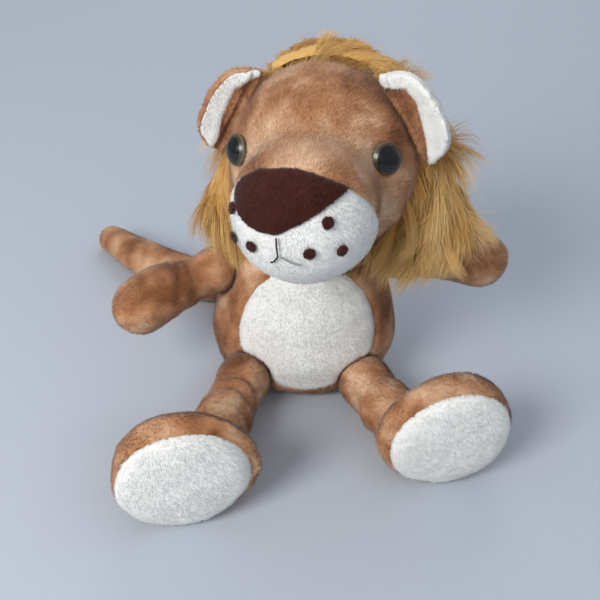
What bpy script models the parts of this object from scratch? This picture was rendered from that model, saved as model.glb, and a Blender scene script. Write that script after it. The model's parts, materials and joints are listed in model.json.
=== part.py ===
"""Sitting plush lion. Metres, +Z up, facing -Y, origin under the middle of the seat.

Names follow the toy's own sides: its right is -X. Each stuffed piece is a sewn cover
with a wad of stuffing inside it. Each limb starts in a ball on its joint, which turns
in a round dimple of the piece that carries it.
"""

import math

import bmesh
import bpy
from mathutils import Matrix, Vector

# Fabric and clearances
cover_wall = 0.0025
seam_gap = 0.0003
ball_gap = 0.0003
flat_depth = 0.0005
overrun = 0.02
hollow_mouth = 0.006

# Torso
torso_height = 0.0840
torso_seat_round = 0.014
torso_shoulder_round = 0.020
torso_seat_half_width = 0.0455
torso_seat_half_depth = 0.0360
torso_half_width = 0.0485
torso_half_depth = 0.0385
torso_belly_half_width = 0.0460
torso_belly_half_depth = 0.0370
torso_chest_half_width = 0.0425
torso_chest_half_depth = 0.0345
torso_shoulder_half_width = 0.0375
torso_shoulder_half_depth = 0.0315
torso_seat_flatness_share = 0.45
torso_widest_share = 0.23
torso_belly_share = 0.50
torso_chest_share = 0.78

# Tummy panel
tummy_half_width = 0.0345
tummy_bottom = 0.0075
tummy_top_drop = 0.0045
tummy_outline_shares = (
    (0.00, 0.00),
    (0.03, 0.30),
    (0.09, 0.58),
    (0.19, 0.82),
    (0.33, 0.98),
    (0.48, 1.00),
    (0.64, 0.92),
    (0.79, 0.76),
    (0.90, 0.56),
    (0.97, 0.32),
    (1.00, 0.00),
)

# Neck
neck_side = 0.0085
neck_forward = 0.010
neck_height = 0.0920
neck_radius = 0.0225

# Head
head_turned = 17.0
head_tipped_up = 7.0
head_leaned = 7.0
head_lift = 0.037
head_forward = 0.008
head_half_width = 0.0445
head_half_depth = 0.0420
head_half_height = 0.0435

# Muzzle
muzzle_forward = 0.0430
muzzle_aside = 0.0024
muzzle_turned = 4.5
muzzle_drop = 0.0075
muzzle_half_width = 0.0316
muzzle_half_depth = 0.0325
muzzle_half_height = 0.0310
muzzle_split_rise = 0.0020
muzzle_split_tilt = 48.0

# Nose patch
nose_half_width = 0.0236
nose_top = 0.0250
nose_bottom = 0.0019
nose_thickness = 0.0012
nose_left_shares = (
    (0.00, -1.00),
    (0.22, -0.74),
    (0.47, -0.48),
    (0.69, -0.20),
    (0.88, 0.08),
    (1.00, 0.28),
    (0.82, 0.54),
    (0.58, 0.76),
    (0.25, 0.96),
)
nose_right_shares = (
    (0.00, 1.00),
    (0.48, 0.85),
    (0.80, 0.50),
    (0.95, 0.14),
    (0.93, -0.30),
    (0.78, -0.65),
    (0.53, -0.90),
    (0.27, -0.98),
)

# Whisker dots
dot_radius = 0.0024
dot_thickness = 0.0008
dot_right_upper_side = 0.0230
dot_left_upper_side = 0.0186
dot_upper_rise = 0.0065
dot_inner_side = 0.0122
dot_inner_drop = 0.0056
dot_outer_side = 0.0230
dot_outer_drop = 0.0061

# Mouth thread
thread_radius = 0.0004
mouth_drop = 0.0075
mouth_right_width = 0.0036
mouth_left_width = 0.0090
mouth_curl_drop = 0.0033

# Eyes
eye_radius = 0.0070
eye_pupil_radius = 0.0053
eye_edge = 0.0012
eye_dome_rise = 0.0034
eye_side = 50.5
eye_rise = 14.0
eye_face_side = 40.0
eye_face_rise = 12.0
eye_sunk = 0.0012
eye_stem_radius = 0.0022
eye_stem_length = 0.0110
washer_radius = 0.0065
washer_thickness = 0.0014
washer_clearance = 0.0022

# Ears
ear_half_width = 0.0216
ear_right_height = 0.0165
ear_left_height = 0.0195
ear_roundness = 2.6
ear_back_thickness = 0.0026
ear_lining_thickness = 0.0018
ear_rim = 0.0010
ear_lining_start = 0.0040
ear_cup = 0.0085
ear_sunk = 0.0025
ear_side = 60.0
ear_back = -0.007
ear_bend_back = 12.0
ear_bend_forward = 30.0

# Mane
mane_crown_back = 0.0165
mane_temple_back = 0.0145
mane_cheek_back = 0.0050
mane_half_depth = 0.0105
mane_embed = 0.0080
mane_crown_thickness = 0.0070
mane_ear_thickness = 0.0060
mane_temple_thickness = 0.0100
mane_cheek_thickness = 0.0280
mane_end_thickness = 0.0150
mane_cheek_drop = 0.0050
mane_end_drop = 0.0070
mane_crown_end = 38.0
mane_temple_end = 88.0
mane_cheek_end = 138.0
mane_end_least_share = 0.2

# Arms
arm_length = 0.0575
arm_root_radius = 0.0126
arm_waist_radius = 0.0107
arm_middle_radius = 0.0136
paw_half_width = 0.0150
paw_half_height = 0.0142
paw_tip = 0.0150
arm_bend = 0.0020
arm_waist_share = 0.30
arm_middle_share = 0.62
shoulder_side = 0.0461
shoulder_right_back = 0.0000
shoulder_left_back = 0.0070
shoulder_right_height = 0.0590
shoulder_left_height = 0.0670
arm_right_forward = 28.0
arm_right_down = 13.0
arm_left_forward = 0.0
arm_left_down = 2.0

# Legs
leg_right_length = 0.0910
leg_left_length = 0.0690
leg_root_radius = 0.0138
leg_waist_radius = 0.0126
leg_calf_radius = 0.0146
ankle_radius = 0.0148
foot_half_width = 0.0320
foot_half_height = 0.0295
foot_depth = 0.0340
sole_dome = 0.0055
sole_seam_set_back = 0.0010
foot_shares = (
    (0.26, 0.80, 0.80),
    (0.58, 1.00, 1.00),
    (1.00, 0.94, 0.94),
)
foot_roll = 8.0
foot_right_turn = 28.0
foot_left_turn = 14.0
leg_right_sway = 0.0
leg_left_sway = 0.0070
leg_waist_share = 0.30
leg_calf_share = 0.65
hip_side = 0.0310
hip_forward = 0.0330
hip_height = 0.0145
leg_right_splay = 17.0
leg_left_splay = 26.0

# Tail
tail_length = 0.1360
tail_root_radius = 0.0108
tail_waist_radius = 0.0092
tail_middle_radius = 0.0130
tail_end_radius = 0.0086
tail_tip = 0.0080
tail_side = 0.0040
tail_back = 0.0432
tail_height = 0.0112
tail_aside = 58.0
tail_waist_turn = 16.0
tail_middle_turn = 6.0
tail_end_turn = -14.0
tail_bend = 0.0210
tail_waist_share = 0.14
tail_middle_share = 0.55
tail_waist_bend_share = 0.16
tail_end_bend_share = 0.36

# Facets
sharp_angle = 40.0
torso_sides = 30
torso_levels = 16
torso_lining_sides = 16
torso_lining_levels = 12
head_sides = 30
head_lining_sides = 18
muzzle_sides = 28
muzzle_lining_sides = 16
limb_sides = 24
limb_levels = 14
limb_lining_sides = 12
tail_sides = 16
tip_levels = 15
mane_sides = 14
mane_steps = 8
ball_sides = 20
eye_sides = 20
dome_steps = 3
washer_sides = 16
stem_sides = 12
dot_sides = 12
thread_steps = 5
ear_rows = 6
ear_columns = 12
groove_steps = 8


# Materials


def material(name, colour, roughness, coat=0.0):
    made = bpy.data.materials.new(name)
    made.use_nodes = True
    shader = made.node_tree.nodes["Principled BSDF"]
    shader.inputs["Base Color"].default_value = (*colour, 1.0)
    shader.inputs["Roughness"].default_value = roughness
    shader.inputs["Metallic"].default_value = 0.0
    shader.inputs["Coat Weight"].default_value = coat
    made.diffuse_color = (*colour, 1.0)
    return made


def brown_plush():
    return material("brown_plush", (0.43, 0.20, 0.09), 0.95)


def white_plush():
    return material("white_plush", (0.76, 0.76, 0.72), 0.95)


def maroon_plush():
    return material("maroon_plush", (0.075, 0.018, 0.018), 0.95)


def mane_pile():
    return material("mane_pile", (0.62, 0.36, 0.12), 0.90)


def stuffing_fibre():
    return material("stuffing_fibre", (0.90, 0.90, 0.90), 1.0)


def mouth_thread():
    return material("mouth_thread", (0.02, 0.02, 0.02), 0.70)


def eye_amber():
    return material("eye_amber", (0.22, 0.17, 0.07), 0.15, 1.0)


def eye_black():
    return material("eye_black", (0.005, 0.005, 0.005), 0.10, 1.0)


def washer_plastic():
    return material("washer_plastic", (0.85, 0.85, 0.83), 0.45)


# Points and outlines


def turned(degrees, axis):
    return Matrix.Rotation(math.radians(degrees), 3, axis)


def slope_at(rows, index, column):
    before = rows[max(index - 1, 0)]
    after = rows[min(index + 1, len(rows) - 1)]
    return (after[column] - before[column]) / (after[0] - before[0])


def eased(rows, place):
    """The row of values at a place, on a smooth curve through the rows."""
    index = 0
    while index < len(rows) - 2 and rows[index + 1][0] < place:
        index += 1
    first = rows[index]
    second = rows[index + 1]
    span = second[0] - first[0]
    part = min(max((place - first[0]) / span, 0.0), 1.0)
    values = []
    for column in range(1, len(first)):
        start_slope = slope_at(rows, index, column) * span
        end_slope = slope_at(rows, index + 1, column) * span
        rise = first[column] * (2 * part**3 - 3 * part**2 + 1)
        rise += second[column] * (3 * part**2 - 2 * part**3)
        rise += start_slope * (part**3 - 2 * part**2 + part)
        rise += end_slope * (part**3 - part**2)
        values.append(rise)
    return values


def oval_ring(centre, across, up, half_width, half_height, sides):
    points = []
    for step in range(sides):
        angle = math.tau * step / sides
        point = centre + across * (half_width * math.cos(angle))
        points.append(point + up * (half_height * math.sin(angle)))
    return points


def inset_profile(profile, inset):
    """Move each place of a profile inwards, square to its slope. Its ends lie on the axis."""
    moved = []
    for index in range(1, len(profile) - 1):
        before = profile[index - 1]
        here = profile[index]
        after = profile[index + 1]
        run = after[0] - before[0]
        climb = (after[1] + after[2] - before[1] - before[2]) / 2
        steep = math.hypot(run, climb)
        moved.append(
            (
                here[0] + inset * climb / steep,
                here[1] - inset * run / steep,
                here[2] - inset * run / steep,
            )
        )
    return moved


# Objects


def add_object(name, mesh, finish, parent=None):
    for polygon in mesh.polygons:
        polygon.use_smooth = True
    made = bpy.data.objects.new(name, mesh)
    bpy.context.collection.objects.link(made)
    made.parent = parent
    if finish is not None:
        mesh.materials.append(finish)
        mesh.set_sharp_from_angle(angle=math.radians(sharp_angle))
    return made


def mesh_from(work, name):
    bmesh.ops.recalc_face_normals(work, faces=work.faces)
    mesh = bpy.data.meshes.new(name)
    work.to_mesh(mesh)
    work.free()
    return mesh


def skin_mesh(name, rings, start, end):
    """Closed skin through rings of points, each end drawn to a point."""
    work = bmesh.new()
    loops = [[work.verts.new(point) for point in ring] for ring in rings]
    first = work.verts.new(start)
    last = work.verts.new(end)
    count = len(loops[0])
    for step in range(count):
        after = (step + 1) % count
        work.faces.new((first, loops[0][after], loops[0][step]))
        for low, high in zip(loops, loops[1:]):
            work.faces.new((low[step], low[after], high[after], high[step]))
        work.faces.new((last, loops[-1][step], loops[-1][after]))
    bmesh.ops.triangulate(work, faces=work.faces, quad_method="FIXED")
    return mesh_from(work, name)


def prism_mesh(name, outline, along):
    """Flat outline carried along a vector."""
    work = bmesh.new()
    face = work.faces.new([work.verts.new(point) for point in outline])
    moved = bmesh.ops.extrude_face_region(work, geom=[face])["geom"]
    points = [part for part in moved if isinstance(part, bmesh.types.BMVert)]
    bmesh.ops.translate(work, verts=points, vec=along)
    return mesh_from(work, name)


def disc_mesh(name, profile, sides):
    """Closed turned piece from a profile of radius and height, which starts and ends on the axis."""
    rings = []
    for radius, height in profile[1:-1]:
        centre = Vector((0, 0, height))
        rings.append(
            oval_ring(centre, Vector((1, 0, 0)), Vector((0, 1, 0)), radius, radius, sides)
        )
    start = Vector((0, 0, profile[0][1]))
    end = Vector((0, 0, profile[-1][1]))
    return skin_mesh(name, rings, start, end)


def ring_mesh(name, profile, sides):
    """Closed turned ring from a closed profile of radius and height."""
    work = bmesh.new()
    loops = []
    for step in range(sides):
        angle = math.tau * step / sides
        loop = []
        for radius, height in profile:
            point = (radius * math.cos(angle), radius * math.sin(angle), height)
            loop.append(work.verts.new(point))
        loops.append(loop)
    for step in range(sides):
        here = loops[step]
        there = loops[(step + 1) % sides]
        for corner in range(len(profile)):
            after = (corner + 1) % len(profile)
            work.faces.new((here[corner], here[after], there[after], there[corner]))
    return mesh_from(work, name)


def ball_mesh(name, half_width, half_depth, half_height, sides):
    rings = []
    levels = sides // 2
    for level in range(1, levels):
        angle = math.pi * level / levels
        reach = math.sin(angle)
        centre = Vector((0, 0, -half_height * math.cos(angle)))
        rings.append(
            oval_ring(
                centre,
                Vector((1, 0, 0)),
                Vector((0, 1, 0)),
                half_width * reach,
                half_depth * reach,
                sides,
            )
        )
    return skin_mesh(name, rings, Vector((0, 0, -half_height)), Vector((0, 0, half_height)))


def empty(name, parent, location, turn):
    made = bpy.data.objects.new(name, None)
    bpy.context.collection.objects.link(made)
    made.parent = parent
    made.location = location
    made.rotation_euler = turn.to_euler()
    return made


def cutter(name, mesh, parent=None):
    made = add_object(name, mesh, None, parent)
    made.hide_render = True
    made.display_type = "WIRE"
    return made


def shaped(body, other, operation="DIFFERENCE"):
    step = body.modifiers.new(f"{operation.lower()} {other.name}", "BOOLEAN")
    step.operation = operation
    step.solver = "EXACT"
    step.object = other


def floor_cutter():
    reach = tail_length + leg_right_length + torso_half_width
    mesh = prism_mesh(
        "floor_cutter",
        (
            Vector((-reach, -reach, 0)),
            Vector((reach, -reach, 0)),
            Vector((reach, reach, 0)),
            Vector((-reach, reach, 0)),
        ),
        Vector((0, 0, -overrun)),
    )
    return cutter("floor_cutter", mesh)


def ball_cutter(name, radius, parent):
    """Dimple for a ball of this radius, wider by its clearance and by its own facets."""
    facet_share = math.cos(math.pi / ball_sides) ** 2
    wide = (radius + ball_gap) / facet_share
    return cutter(name, ball_mesh(name, wide, wide, wide, ball_sides), parent)


# Torso


def torso_mesh(name, inset, sides, levels):
    straight = torso_height - torso_seat_round - torso_shoulder_round
    rows = (
        (torso_seat_round, torso_seat_half_width, torso_seat_half_depth),
        (
            torso_seat_round + torso_widest_share * straight,
            torso_half_width,
            torso_half_depth,
        ),
        (
            torso_seat_round + torso_belly_share * straight,
            torso_belly_half_width,
            torso_belly_half_depth,
        ),
        (
            torso_seat_round + torso_chest_share * straight,
            torso_chest_half_width,
            torso_chest_half_depth,
        ),
        (
            torso_height - torso_shoulder_round,
            torso_shoulder_half_width,
            torso_shoulder_half_depth,
        ),
    )
    profile = [(-flat_depth, 0.0, 0.0)]
    caps = levels // 3
    for level in range(1, caps):
        angle = math.pi / 2 * level / caps
        drop = (torso_seat_round + flat_depth) * math.cos(angle)
        share = math.sin(angle) ** torso_seat_flatness_share
        profile.append(
            (
                torso_seat_round - drop,
                torso_seat_half_width * share,
                torso_seat_half_depth * share,
            )
        )
    for level in range(levels - caps):
        place = torso_seat_round + straight * level / (levels - caps - 1)
        profile.append((place, *eased(rows, place)))
    for level in range(1, caps):
        angle = math.pi / 2 * level / caps
        profile.append(
            (
                torso_height - torso_shoulder_round + torso_shoulder_round * math.sin(angle),
                torso_shoulder_half_width * math.cos(angle),
                torso_shoulder_half_depth * math.cos(angle),
            )
        )
    profile.append((torso_height, 0.0, 0.0))
    rings = []
    for height, half_width, half_depth in inset_profile(profile, inset):
        rings.append(
            oval_ring(
                Vector((0, 0, height)),
                Vector((1, 0, 0)),
                Vector((0, 1, 0)),
                half_width,
                half_depth,
                sides,
            )
        )
    bottom = Vector((0, 0, inset - flat_depth))
    return skin_mesh(name, rings, bottom, Vector((0, 0, torso_height - inset)))


def tummy_outline(inset, depth):
    height = torso_height - tummy_top_drop - tummy_bottom - inset - inset
    side = []
    for place_share, width_share in tummy_outline_shares:
        side.append(
            (
                width_share * (tummy_half_width - inset),
                tummy_bottom + inset + place_share * height,
            )
        )
    points = [Vector((across, depth, up)) for across, up in side]
    points += [Vector((-across, depth, up)) for across, up in side[-2:0:-1]]
    return points


def make_torso(floor, dimples):
    body = add_object(
        "torso_cover",
        torso_mesh("torso_cover", 0, torso_sides, torso_levels),
        brown_plush(),
    )
    hollow = cutter(
        "torso_hollow",
        torso_mesh("torso_hollow", cover_wall, torso_lining_sides, torso_lining_levels),
    )
    shaped(body, hollow)
    reach = torso_half_depth + overrun
    opening = cutter(
        "tummy_opening",
        prism_mesh("tummy_opening", tummy_outline(0, 0), Vector((0, -reach, 0))),
    )
    shaped(body, opening)
    shaped(body, floor)
    core = add_object(
        "torso_stuffing",
        torso_mesh(
            "torso_stuffing", cover_wall + seam_gap, torso_lining_sides, torso_lining_levels
        ),
        stuffing_fibre(),
    )
    for dimple in dimples:
        shaped(body, dimple)
        shaped(core, dimple)
    panel = add_object(
        "tummy_panel",
        torso_mesh("tummy_panel", 0, torso_sides, torso_levels),
        white_plush(),
    )
    shaped(panel, hollow)
    outline = cutter(
        "tummy_shape",
        prism_mesh("tummy_shape", tummy_outline(seam_gap, 0), Vector((0, -reach, 0))),
    )
    shaped(panel, outline, "INTERSECT")
    for dimple in dimples:
        shaped(panel, dimple)


# Head


def head_mesh(name, inset, sides):
    return ball_mesh(
        name,
        head_half_width - inset,
        head_half_depth - inset,
        head_half_height - inset,
        sides,
    )


def muzzle_mesh(name, inset, sides):
    return ball_mesh(
        name,
        muzzle_half_width - inset,
        muzzle_half_depth - inset,
        muzzle_half_height - inset,
        sides,
    )


def slab_mesh(name, start, thickness, reach):
    """Square slab about the axis, from one height through a thickness."""
    return prism_mesh(
        name,
        (
            Vector((-reach, -reach, start)),
            Vector((reach, -reach, start)),
            Vector((reach, reach, start)),
            Vector((-reach, reach, start)),
        ),
        Vector((0, 0, thickness)),
    )


def make_head(centre_frame, muzzle_frame, neck_dimple, ear_grooves, eyes):
    cover = add_object(
        "head_cover", head_mesh("head_cover", 0, head_sides), brown_plush(), centre_frame
    )
    hollow = cutter(
        "head_hollow", head_mesh("head_hollow", cover_wall, head_lining_sides), centre_frame
    )
    muzzle_outside = cutter(
        "muzzle_outside", muzzle_mesh("muzzle_outside", 0, muzzle_sides), muzzle_frame
    )
    shaped(cover, hollow)
    shaped(cover, muzzle_outside)
    core = add_object(
        "head_stuffing",
        head_mesh("head_stuffing", cover_wall + seam_gap, head_lining_sides),
        stuffing_fibre(),
        centre_frame,
    )
    muzzle_core = cutter(
        "muzzle_core",
        muzzle_mesh("muzzle_core", cover_wall + seam_gap, muzzle_lining_sides),
        muzzle_frame,
    )
    shaped(core, muzzle_core, "UNION")
    for hole in [neck_dimple, *ear_grooves]:
        shaped(cover, hole)
        shaped(core, hole)
    for pocket, stem_hole, stuffing_hole in eyes:
        shaped(cover, pocket)
        shaped(cover, stem_hole)
        shaped(core, stuffing_hole)
    return cover


def make_muzzle(centre_frame, muzzle_frame):
    hollow = cutter(
        "muzzle_hollow",
        muzzle_mesh("muzzle_hollow", cover_wall, muzzle_lining_sides),
        muzzle_frame,
    )
    head_room = cutter(
        "head_room", head_mesh("head_room", -seam_gap, head_sides), centre_frame
    )
    reach = muzzle_half_height + overrun
    split_frame = empty(
        "muzzle_split",
        muzzle_frame,
        (0, 0, muzzle_split_rise),
        turned(-muzzle_split_tilt, "X"),
    )
    wide = muzzle_half_width + muzzle_half_depth + overrun
    above = cutter("muzzle_above", slab_mesh("muzzle_above", 0, reach, wide), split_frame)
    below = cutter("muzzle_below", slab_mesh("muzzle_below", seam_gap, -reach, wide), split_frame)
    for name, finish, away in (
        ("muzzle_bridge", brown_plush(), below),
        ("muzzle_chin", white_plush(), above),
    ):
        piece = add_object(name, muzzle_mesh(name, 0, muzzle_sides), finish, muzzle_frame)
        shaped(piece, hollow)
        shaped(piece, head_room)
        shaped(piece, away)


def nose_outline(inset):
    middle = (nose_top + nose_bottom) / 2
    half_height = (nose_top - nose_bottom) / 2 - inset
    half_width = nose_half_width - inset
    points = []
    for hand, shares in ((1, nose_left_shares), (-1, nose_right_shares)):
        for width_share, height_share in shares:
            up = middle + height_share * half_height
            points.append(Vector((hand * width_share * half_width, 0, up)))
    return points


def make_nose(muzzle_frame):
    patch = add_object(
        "nose_patch",
        muzzle_mesh("nose_patch", -seam_gap - nose_thickness, muzzle_sides),
        maroon_plush(),
        muzzle_frame,
    )
    under = cutter(
        "nose_under", muzzle_mesh("nose_under", -seam_gap, muzzle_sides), muzzle_frame
    )
    reach = muzzle_half_depth + overrun
    outline = cutter(
        "nose_shape",
        prism_mesh("nose_shape", nose_outline(0), Vector((0, -reach, 0))),
        muzzle_frame,
    )
    shaped(patch, under)
    shaped(patch, outline, "INTERSECT")


def on_muzzle(across, up, lift):
    """Point on the front of the muzzle, and the way out of it there."""
    wide = muzzle_half_width + lift
    deep = muzzle_half_depth + lift
    tall = muzzle_half_height + lift
    left = 1 - (across / wide) ** 2 - (up / tall) ** 2
    point = Vector((across, -deep * math.sqrt(max(left, 0.0)), up))
    out = Vector((point.x / wide**2, point.y / deep**2, point.z / tall**2))
    return point, out.normalized()


def make_dots(muzzle_frame):
    for side, hand, upper_side in (
        ("right", -1, dot_right_upper_side),
        ("left", 1, dot_left_upper_side),
    ):
        for name, across, up in (
            ("upper", upper_side, dot_upper_rise),
            ("inner", dot_inner_side, -dot_inner_drop),
            ("outer", dot_outer_side, -dot_outer_drop),
        ):
            lift = seam_gap + seam_gap
            point, out = on_muzzle(hand * across, up, lift)
            bevel = dot_thickness / 3
            mesh = disc_mesh(
                f"dot_{side}_{name}",
                (
                    (0, 0),
                    (dot_radius, 0),
                    (dot_radius, dot_thickness - bevel),
                    (dot_radius - bevel, dot_thickness),
                    (0, dot_thickness),
                ),
                dot_sides,
            )
            dot = add_object(f"dot_{side}_{name}", mesh, maroon_plush(), muzzle_frame)
            dot.location = point
            dot.rotation_euler = out.to_track_quat("Z", "Y").to_euler()


def thread_object(name, points, parent):
    curve = bpy.data.curves.new(name, "CURVE")
    curve.dimensions = "3D"
    curve.bevel_depth = thread_radius
    curve.bevel_resolution = 1
    curve.use_fill_caps = True
    spline = curve.splines.new("POLY")
    spline.points.add(len(points) - 1)
    for place, point in zip(spline.points, points):
        place.co = (*point, 1.0)
    curve.materials.append(mouth_thread())
    made = bpy.data.objects.new(name, curve)
    bpy.context.collection.objects.link(made)
    made.parent = parent


def mouth_point(across, share):
    """Point of the mouth's curve, at a share of its way out from the middle."""
    lift = seam_gap + thread_radius + thread_radius
    droop = mouth_curl_drop * math.sin(share * math.pi / 2)
    return on_muzzle(across, -mouth_drop - droop, lift)[0]


def make_mouth(muzzle_frame):
    lift = seam_gap + thread_radius + thread_radius
    top = nose_bottom - seam_gap - thread_radius - thread_radius
    line = []
    for step in range(thread_steps + 1):
        up = top + (-mouth_drop - top) * step / thread_steps
        line.append(on_muzzle(0, up, lift)[0])
    for step in range(1, thread_steps + 1):
        share = step / thread_steps
        line.append(mouth_point(-mouth_right_width * share, share))
    thread_object("mouth_line", line, muzzle_frame)
    curl = []
    apart = thread_radius + thread_radius + seam_gap + thread_radius
    for step in range(thread_steps + 1):
        share = step / thread_steps
        curl.append(mouth_point(apart + (mouth_left_width - apart) * share, share))
    thread_object("mouth_curl", curl, muzzle_frame)


# Eyes


def eye_dome(radius):
    """Height of the glossy dome at a distance from its middle."""
    sphere = (eye_radius**2 + eye_dome_rise**2) / (2 * eye_dome_rise)
    return eye_edge + math.sqrt(sphere**2 - radius**2) - (sphere - eye_dome_rise)


def make_eye(side, hand, centre_frame):
    place = turned(hand * eye_side, "Z") @ turned(-eye_rise, "X") @ Vector((0, -1, 0))
    surface = Vector(
        (
            place.x * head_half_width,
            place.y * head_half_depth,
            place.z * head_half_height,
        )
    )
    facing = turned(hand * eye_face_side, "Z") @ turned(-eye_face_rise, "X") @ Vector((0, -1, 0))
    frame = empty(
        f"eye_{side}_frame",
        centre_frame,
        surface - facing * eye_sunk,
        facing.to_track_quat("Z", "Y").to_matrix(),
    )
    rim = []
    inner = eye_pupil_radius
    for step in range(dome_steps + 1):
        radius = inner + (eye_radius - inner) * step / dome_steps
        rim.append((radius, eye_dome(radius)))
    rim += [(eye_radius, seam_gap), (inner, seam_gap)]
    name = f"eye_{side}_rim"
    add_object(name, ring_mesh(name, rim, eye_sides), eye_amber(), frame)
    button = [(0, seam_gap), (inner - seam_gap, seam_gap)]
    for step in range(dome_steps):
        radius = (inner - seam_gap) * (1 - step / dome_steps)
        button.append((radius, eye_dome(radius)))
    button.append((0, eye_dome(0)))
    name = f"eye_{side}_pupil"
    add_object(name, disc_mesh(name, button, eye_sides), eye_black(), frame)
    taper = eye_stem_radius / 2
    stem = (
        (0, -eye_stem_length),
        (taper, -eye_stem_length),
        (eye_stem_radius, -eye_stem_length + taper),
        (eye_stem_radius, 0),
        (0, 0),
    )
    name = f"eye_{side}_stem"
    add_object(name, disc_mesh(name, stem, stem_sides), eye_black(), frame)
    hole = eye_stem_radius + seam_gap
    depth = cover_wall + washer_clearance
    washer = (
        (hole, -depth),
        (washer_radius, -depth),
        (washer_radius, -depth - washer_thickness),
        (hole, -depth - washer_thickness),
    )
    name = f"eye_{side}_washer"
    add_object(name, ring_mesh(name, washer, washer_sides), washer_plastic(), frame)
    deep = eye_stem_length + seam_gap + seam_gap
    holes = []
    for name, radius, bottom, sides in (
        ("pocket", eye_radius + seam_gap + seam_gap, 0, eye_sides),
        ("stem_hole", hole + seam_gap, -overrun, stem_sides),
        ("stuffing_hole", washer_radius + seam_gap + seam_gap, -deep, washer_sides),
    ):
        profile = ((0, bottom), (radius, bottom), (radius, overrun), (0, overrun))
        label = f"eye_{side}_{name}"
        holes.append(cutter(label, disc_mesh(label, profile, sides), frame))
    return holes


# Ears


def ear_mesh(name, half_width, height, start, front, back):
    """Half-round flap from the level of its start, its tip curved forward."""
    work = bmesh.new()
    rows = ear_rows
    columns = ear_columns
    faces = []
    for depth in (front, back):
        grid = []
        for row in range(rows + 1):
            up = start + (height - start) * math.sin(math.pi / 2 * row / rows)
            left = max(1 - (up / height) ** ear_roundness, 0.0)
            reach = half_width * left ** (1 / ear_roundness)
            line = []
            for column in range(columns + 1):
                across = reach * (2 * column / columns - 1)
                if row == rows and column > 0:
                    line.append(line[0])
                    continue
                forward = -ear_cup * (up / ear_left_height) ** 2
                line.append(work.verts.new((across, forward + depth, up)))
            grid.append(line)
        faces.append(grid)
    near, far = faces

    def fill(*corners):
        kept = []
        for corner in corners:
            if corner not in kept:
                kept.append(corner)
        if len(kept) > 2:
            work.faces.new(kept)

    for row in range(rows):
        for column in range(columns):
            after = column + 1
            above = row + 1
            fill(near[row][column], near[row][after], near[above][after], near[above][column])
            fill(far[row][after], far[row][column], far[above][column], far[above][after])
        fill(near[row][0], near[row + 1][0], far[row + 1][0], far[row][0])
        fill(near[row + 1][columns], near[row][columns], far[row][columns], far[row + 1][columns])
    for column in range(columns):
        fill(near[0][column + 1], near[0][column], far[0][column], far[0][column + 1])
    return mesh_from(work, name)


def make_ear(side, hand, height, centre_frame):
    angle = math.radians(ear_side)
    out = Vector((hand * math.sin(angle), 0, math.cos(angle)))
    reach = 1 / math.sqrt((out.x / head_half_width) ** 2 + (out.z / head_half_height) ** 2)
    frame = empty(
        f"ear_{side}_frame",
        centre_frame,
        out * (reach - ear_sunk) + Vector((0, ear_back, 0)),
        turned(hand * ear_side, "Y"),
    )
    half = ear_back_thickness / 2
    add_object(
        f"ear_{side}_back",
        ear_mesh(f"ear_{side}_back", ear_half_width, height, 0, -half, half),
        brown_plush(),
        frame,
    )
    front = -half - seam_gap
    add_object(
        f"ear_{side}_lining",
        ear_mesh(
            f"ear_{side}_lining",
            ear_half_width - ear_rim,
            height - ear_rim,
            ear_lining_start,
            front - ear_lining_thickness,
            front,
        ),
        white_plush(),
        frame,
    )
    room = (half + seam_gap) / math.cos(math.pi / groove_steps)
    low = math.radians(ear_bend_back)
    high = math.radians(ear_bend_forward)
    length = ear_half_width + seam_gap + seam_gap
    outline = []
    sweep = math.pi - high - low
    for step in range(groove_steps + 1):
        bend = math.pi + high + sweep * step / groove_steps
        outline.append(Vector((-length, room * math.cos(bend), room * math.sin(bend))))
    backward = Vector((0, math.sin(low), math.cos(low)))
    forward = Vector((0, -math.sin(high), math.cos(high)))
    ahead = Vector((0, -math.cos(high), -math.sin(high)))
    step_out = ahead * (ear_lining_thickness + seam_gap + seam_gap)
    lip = outline[0] + forward * (ear_lining_start - seam_gap - seam_gap)
    outline.append(outline[-1] + backward * overrun)
    outline.append(lip + step_out + forward * overrun)
    outline.append(lip + step_out)
    outline.append(lip)
    name = f"ear_{side}_groove"
    groove = prism_mesh(name, outline, Vector((length + length, 0, 0)))
    return cutter(name, groove, frame)


# Mane


def mane_place(angle):
    """Thickness of the pile, how far back it lies and how far it hangs, at degrees from the top."""
    rows = (
        (0.0, mane_crown_thickness, mane_crown_back, 0.0),
        (mane_crown_end, mane_crown_thickness, mane_crown_back, 0.0),
        (ear_side, mane_ear_thickness, mane_crown_back, 0.0),
        (mane_temple_end, mane_temple_thickness, mane_temple_back, 0.0),
        (
            (mane_temple_end + mane_cheek_end) / 2,
            mane_cheek_thickness,
            mane_cheek_back,
            mane_cheek_drop,
        ),
        (mane_cheek_end, mane_end_thickness, mane_cheek_back, mane_end_drop),
    )
    return eased(rows, abs(angle))


def mane_mesh(name, start, end, closed_round):
    rings = []
    for step in range(mane_steps + 1):
        share = step / mane_steps
        angle = start + (end - start) * share
        thickness, back, drop = mane_place(angle)
        shrink_share = 1.0
        if closed_round:
            shrink_share = max(math.sqrt(1 - share**4), mane_end_least_share)
        bearing = math.radians(angle)
        out = Vector((math.sin(bearing), 0, math.cos(bearing)))
        reach = 1 / math.hypot(out.x / head_half_width, out.z / head_half_height)
        middle = reach + (thickness - mane_embed) / 2
        rings.append(
            oval_ring(
                out * middle + Vector((0, back, -drop)),
                out,
                Vector((0, 1, 0)),
                (thickness + mane_embed) / 2 * shrink_share,
                mane_half_depth * shrink_share,
                mane_sides,
            )
        )
    first = sum(rings[0], Vector()) / len(rings[0])
    last = sum(rings[-1], Vector()) / len(rings[-1])
    return skin_mesh(name, rings, first, last)


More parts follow.
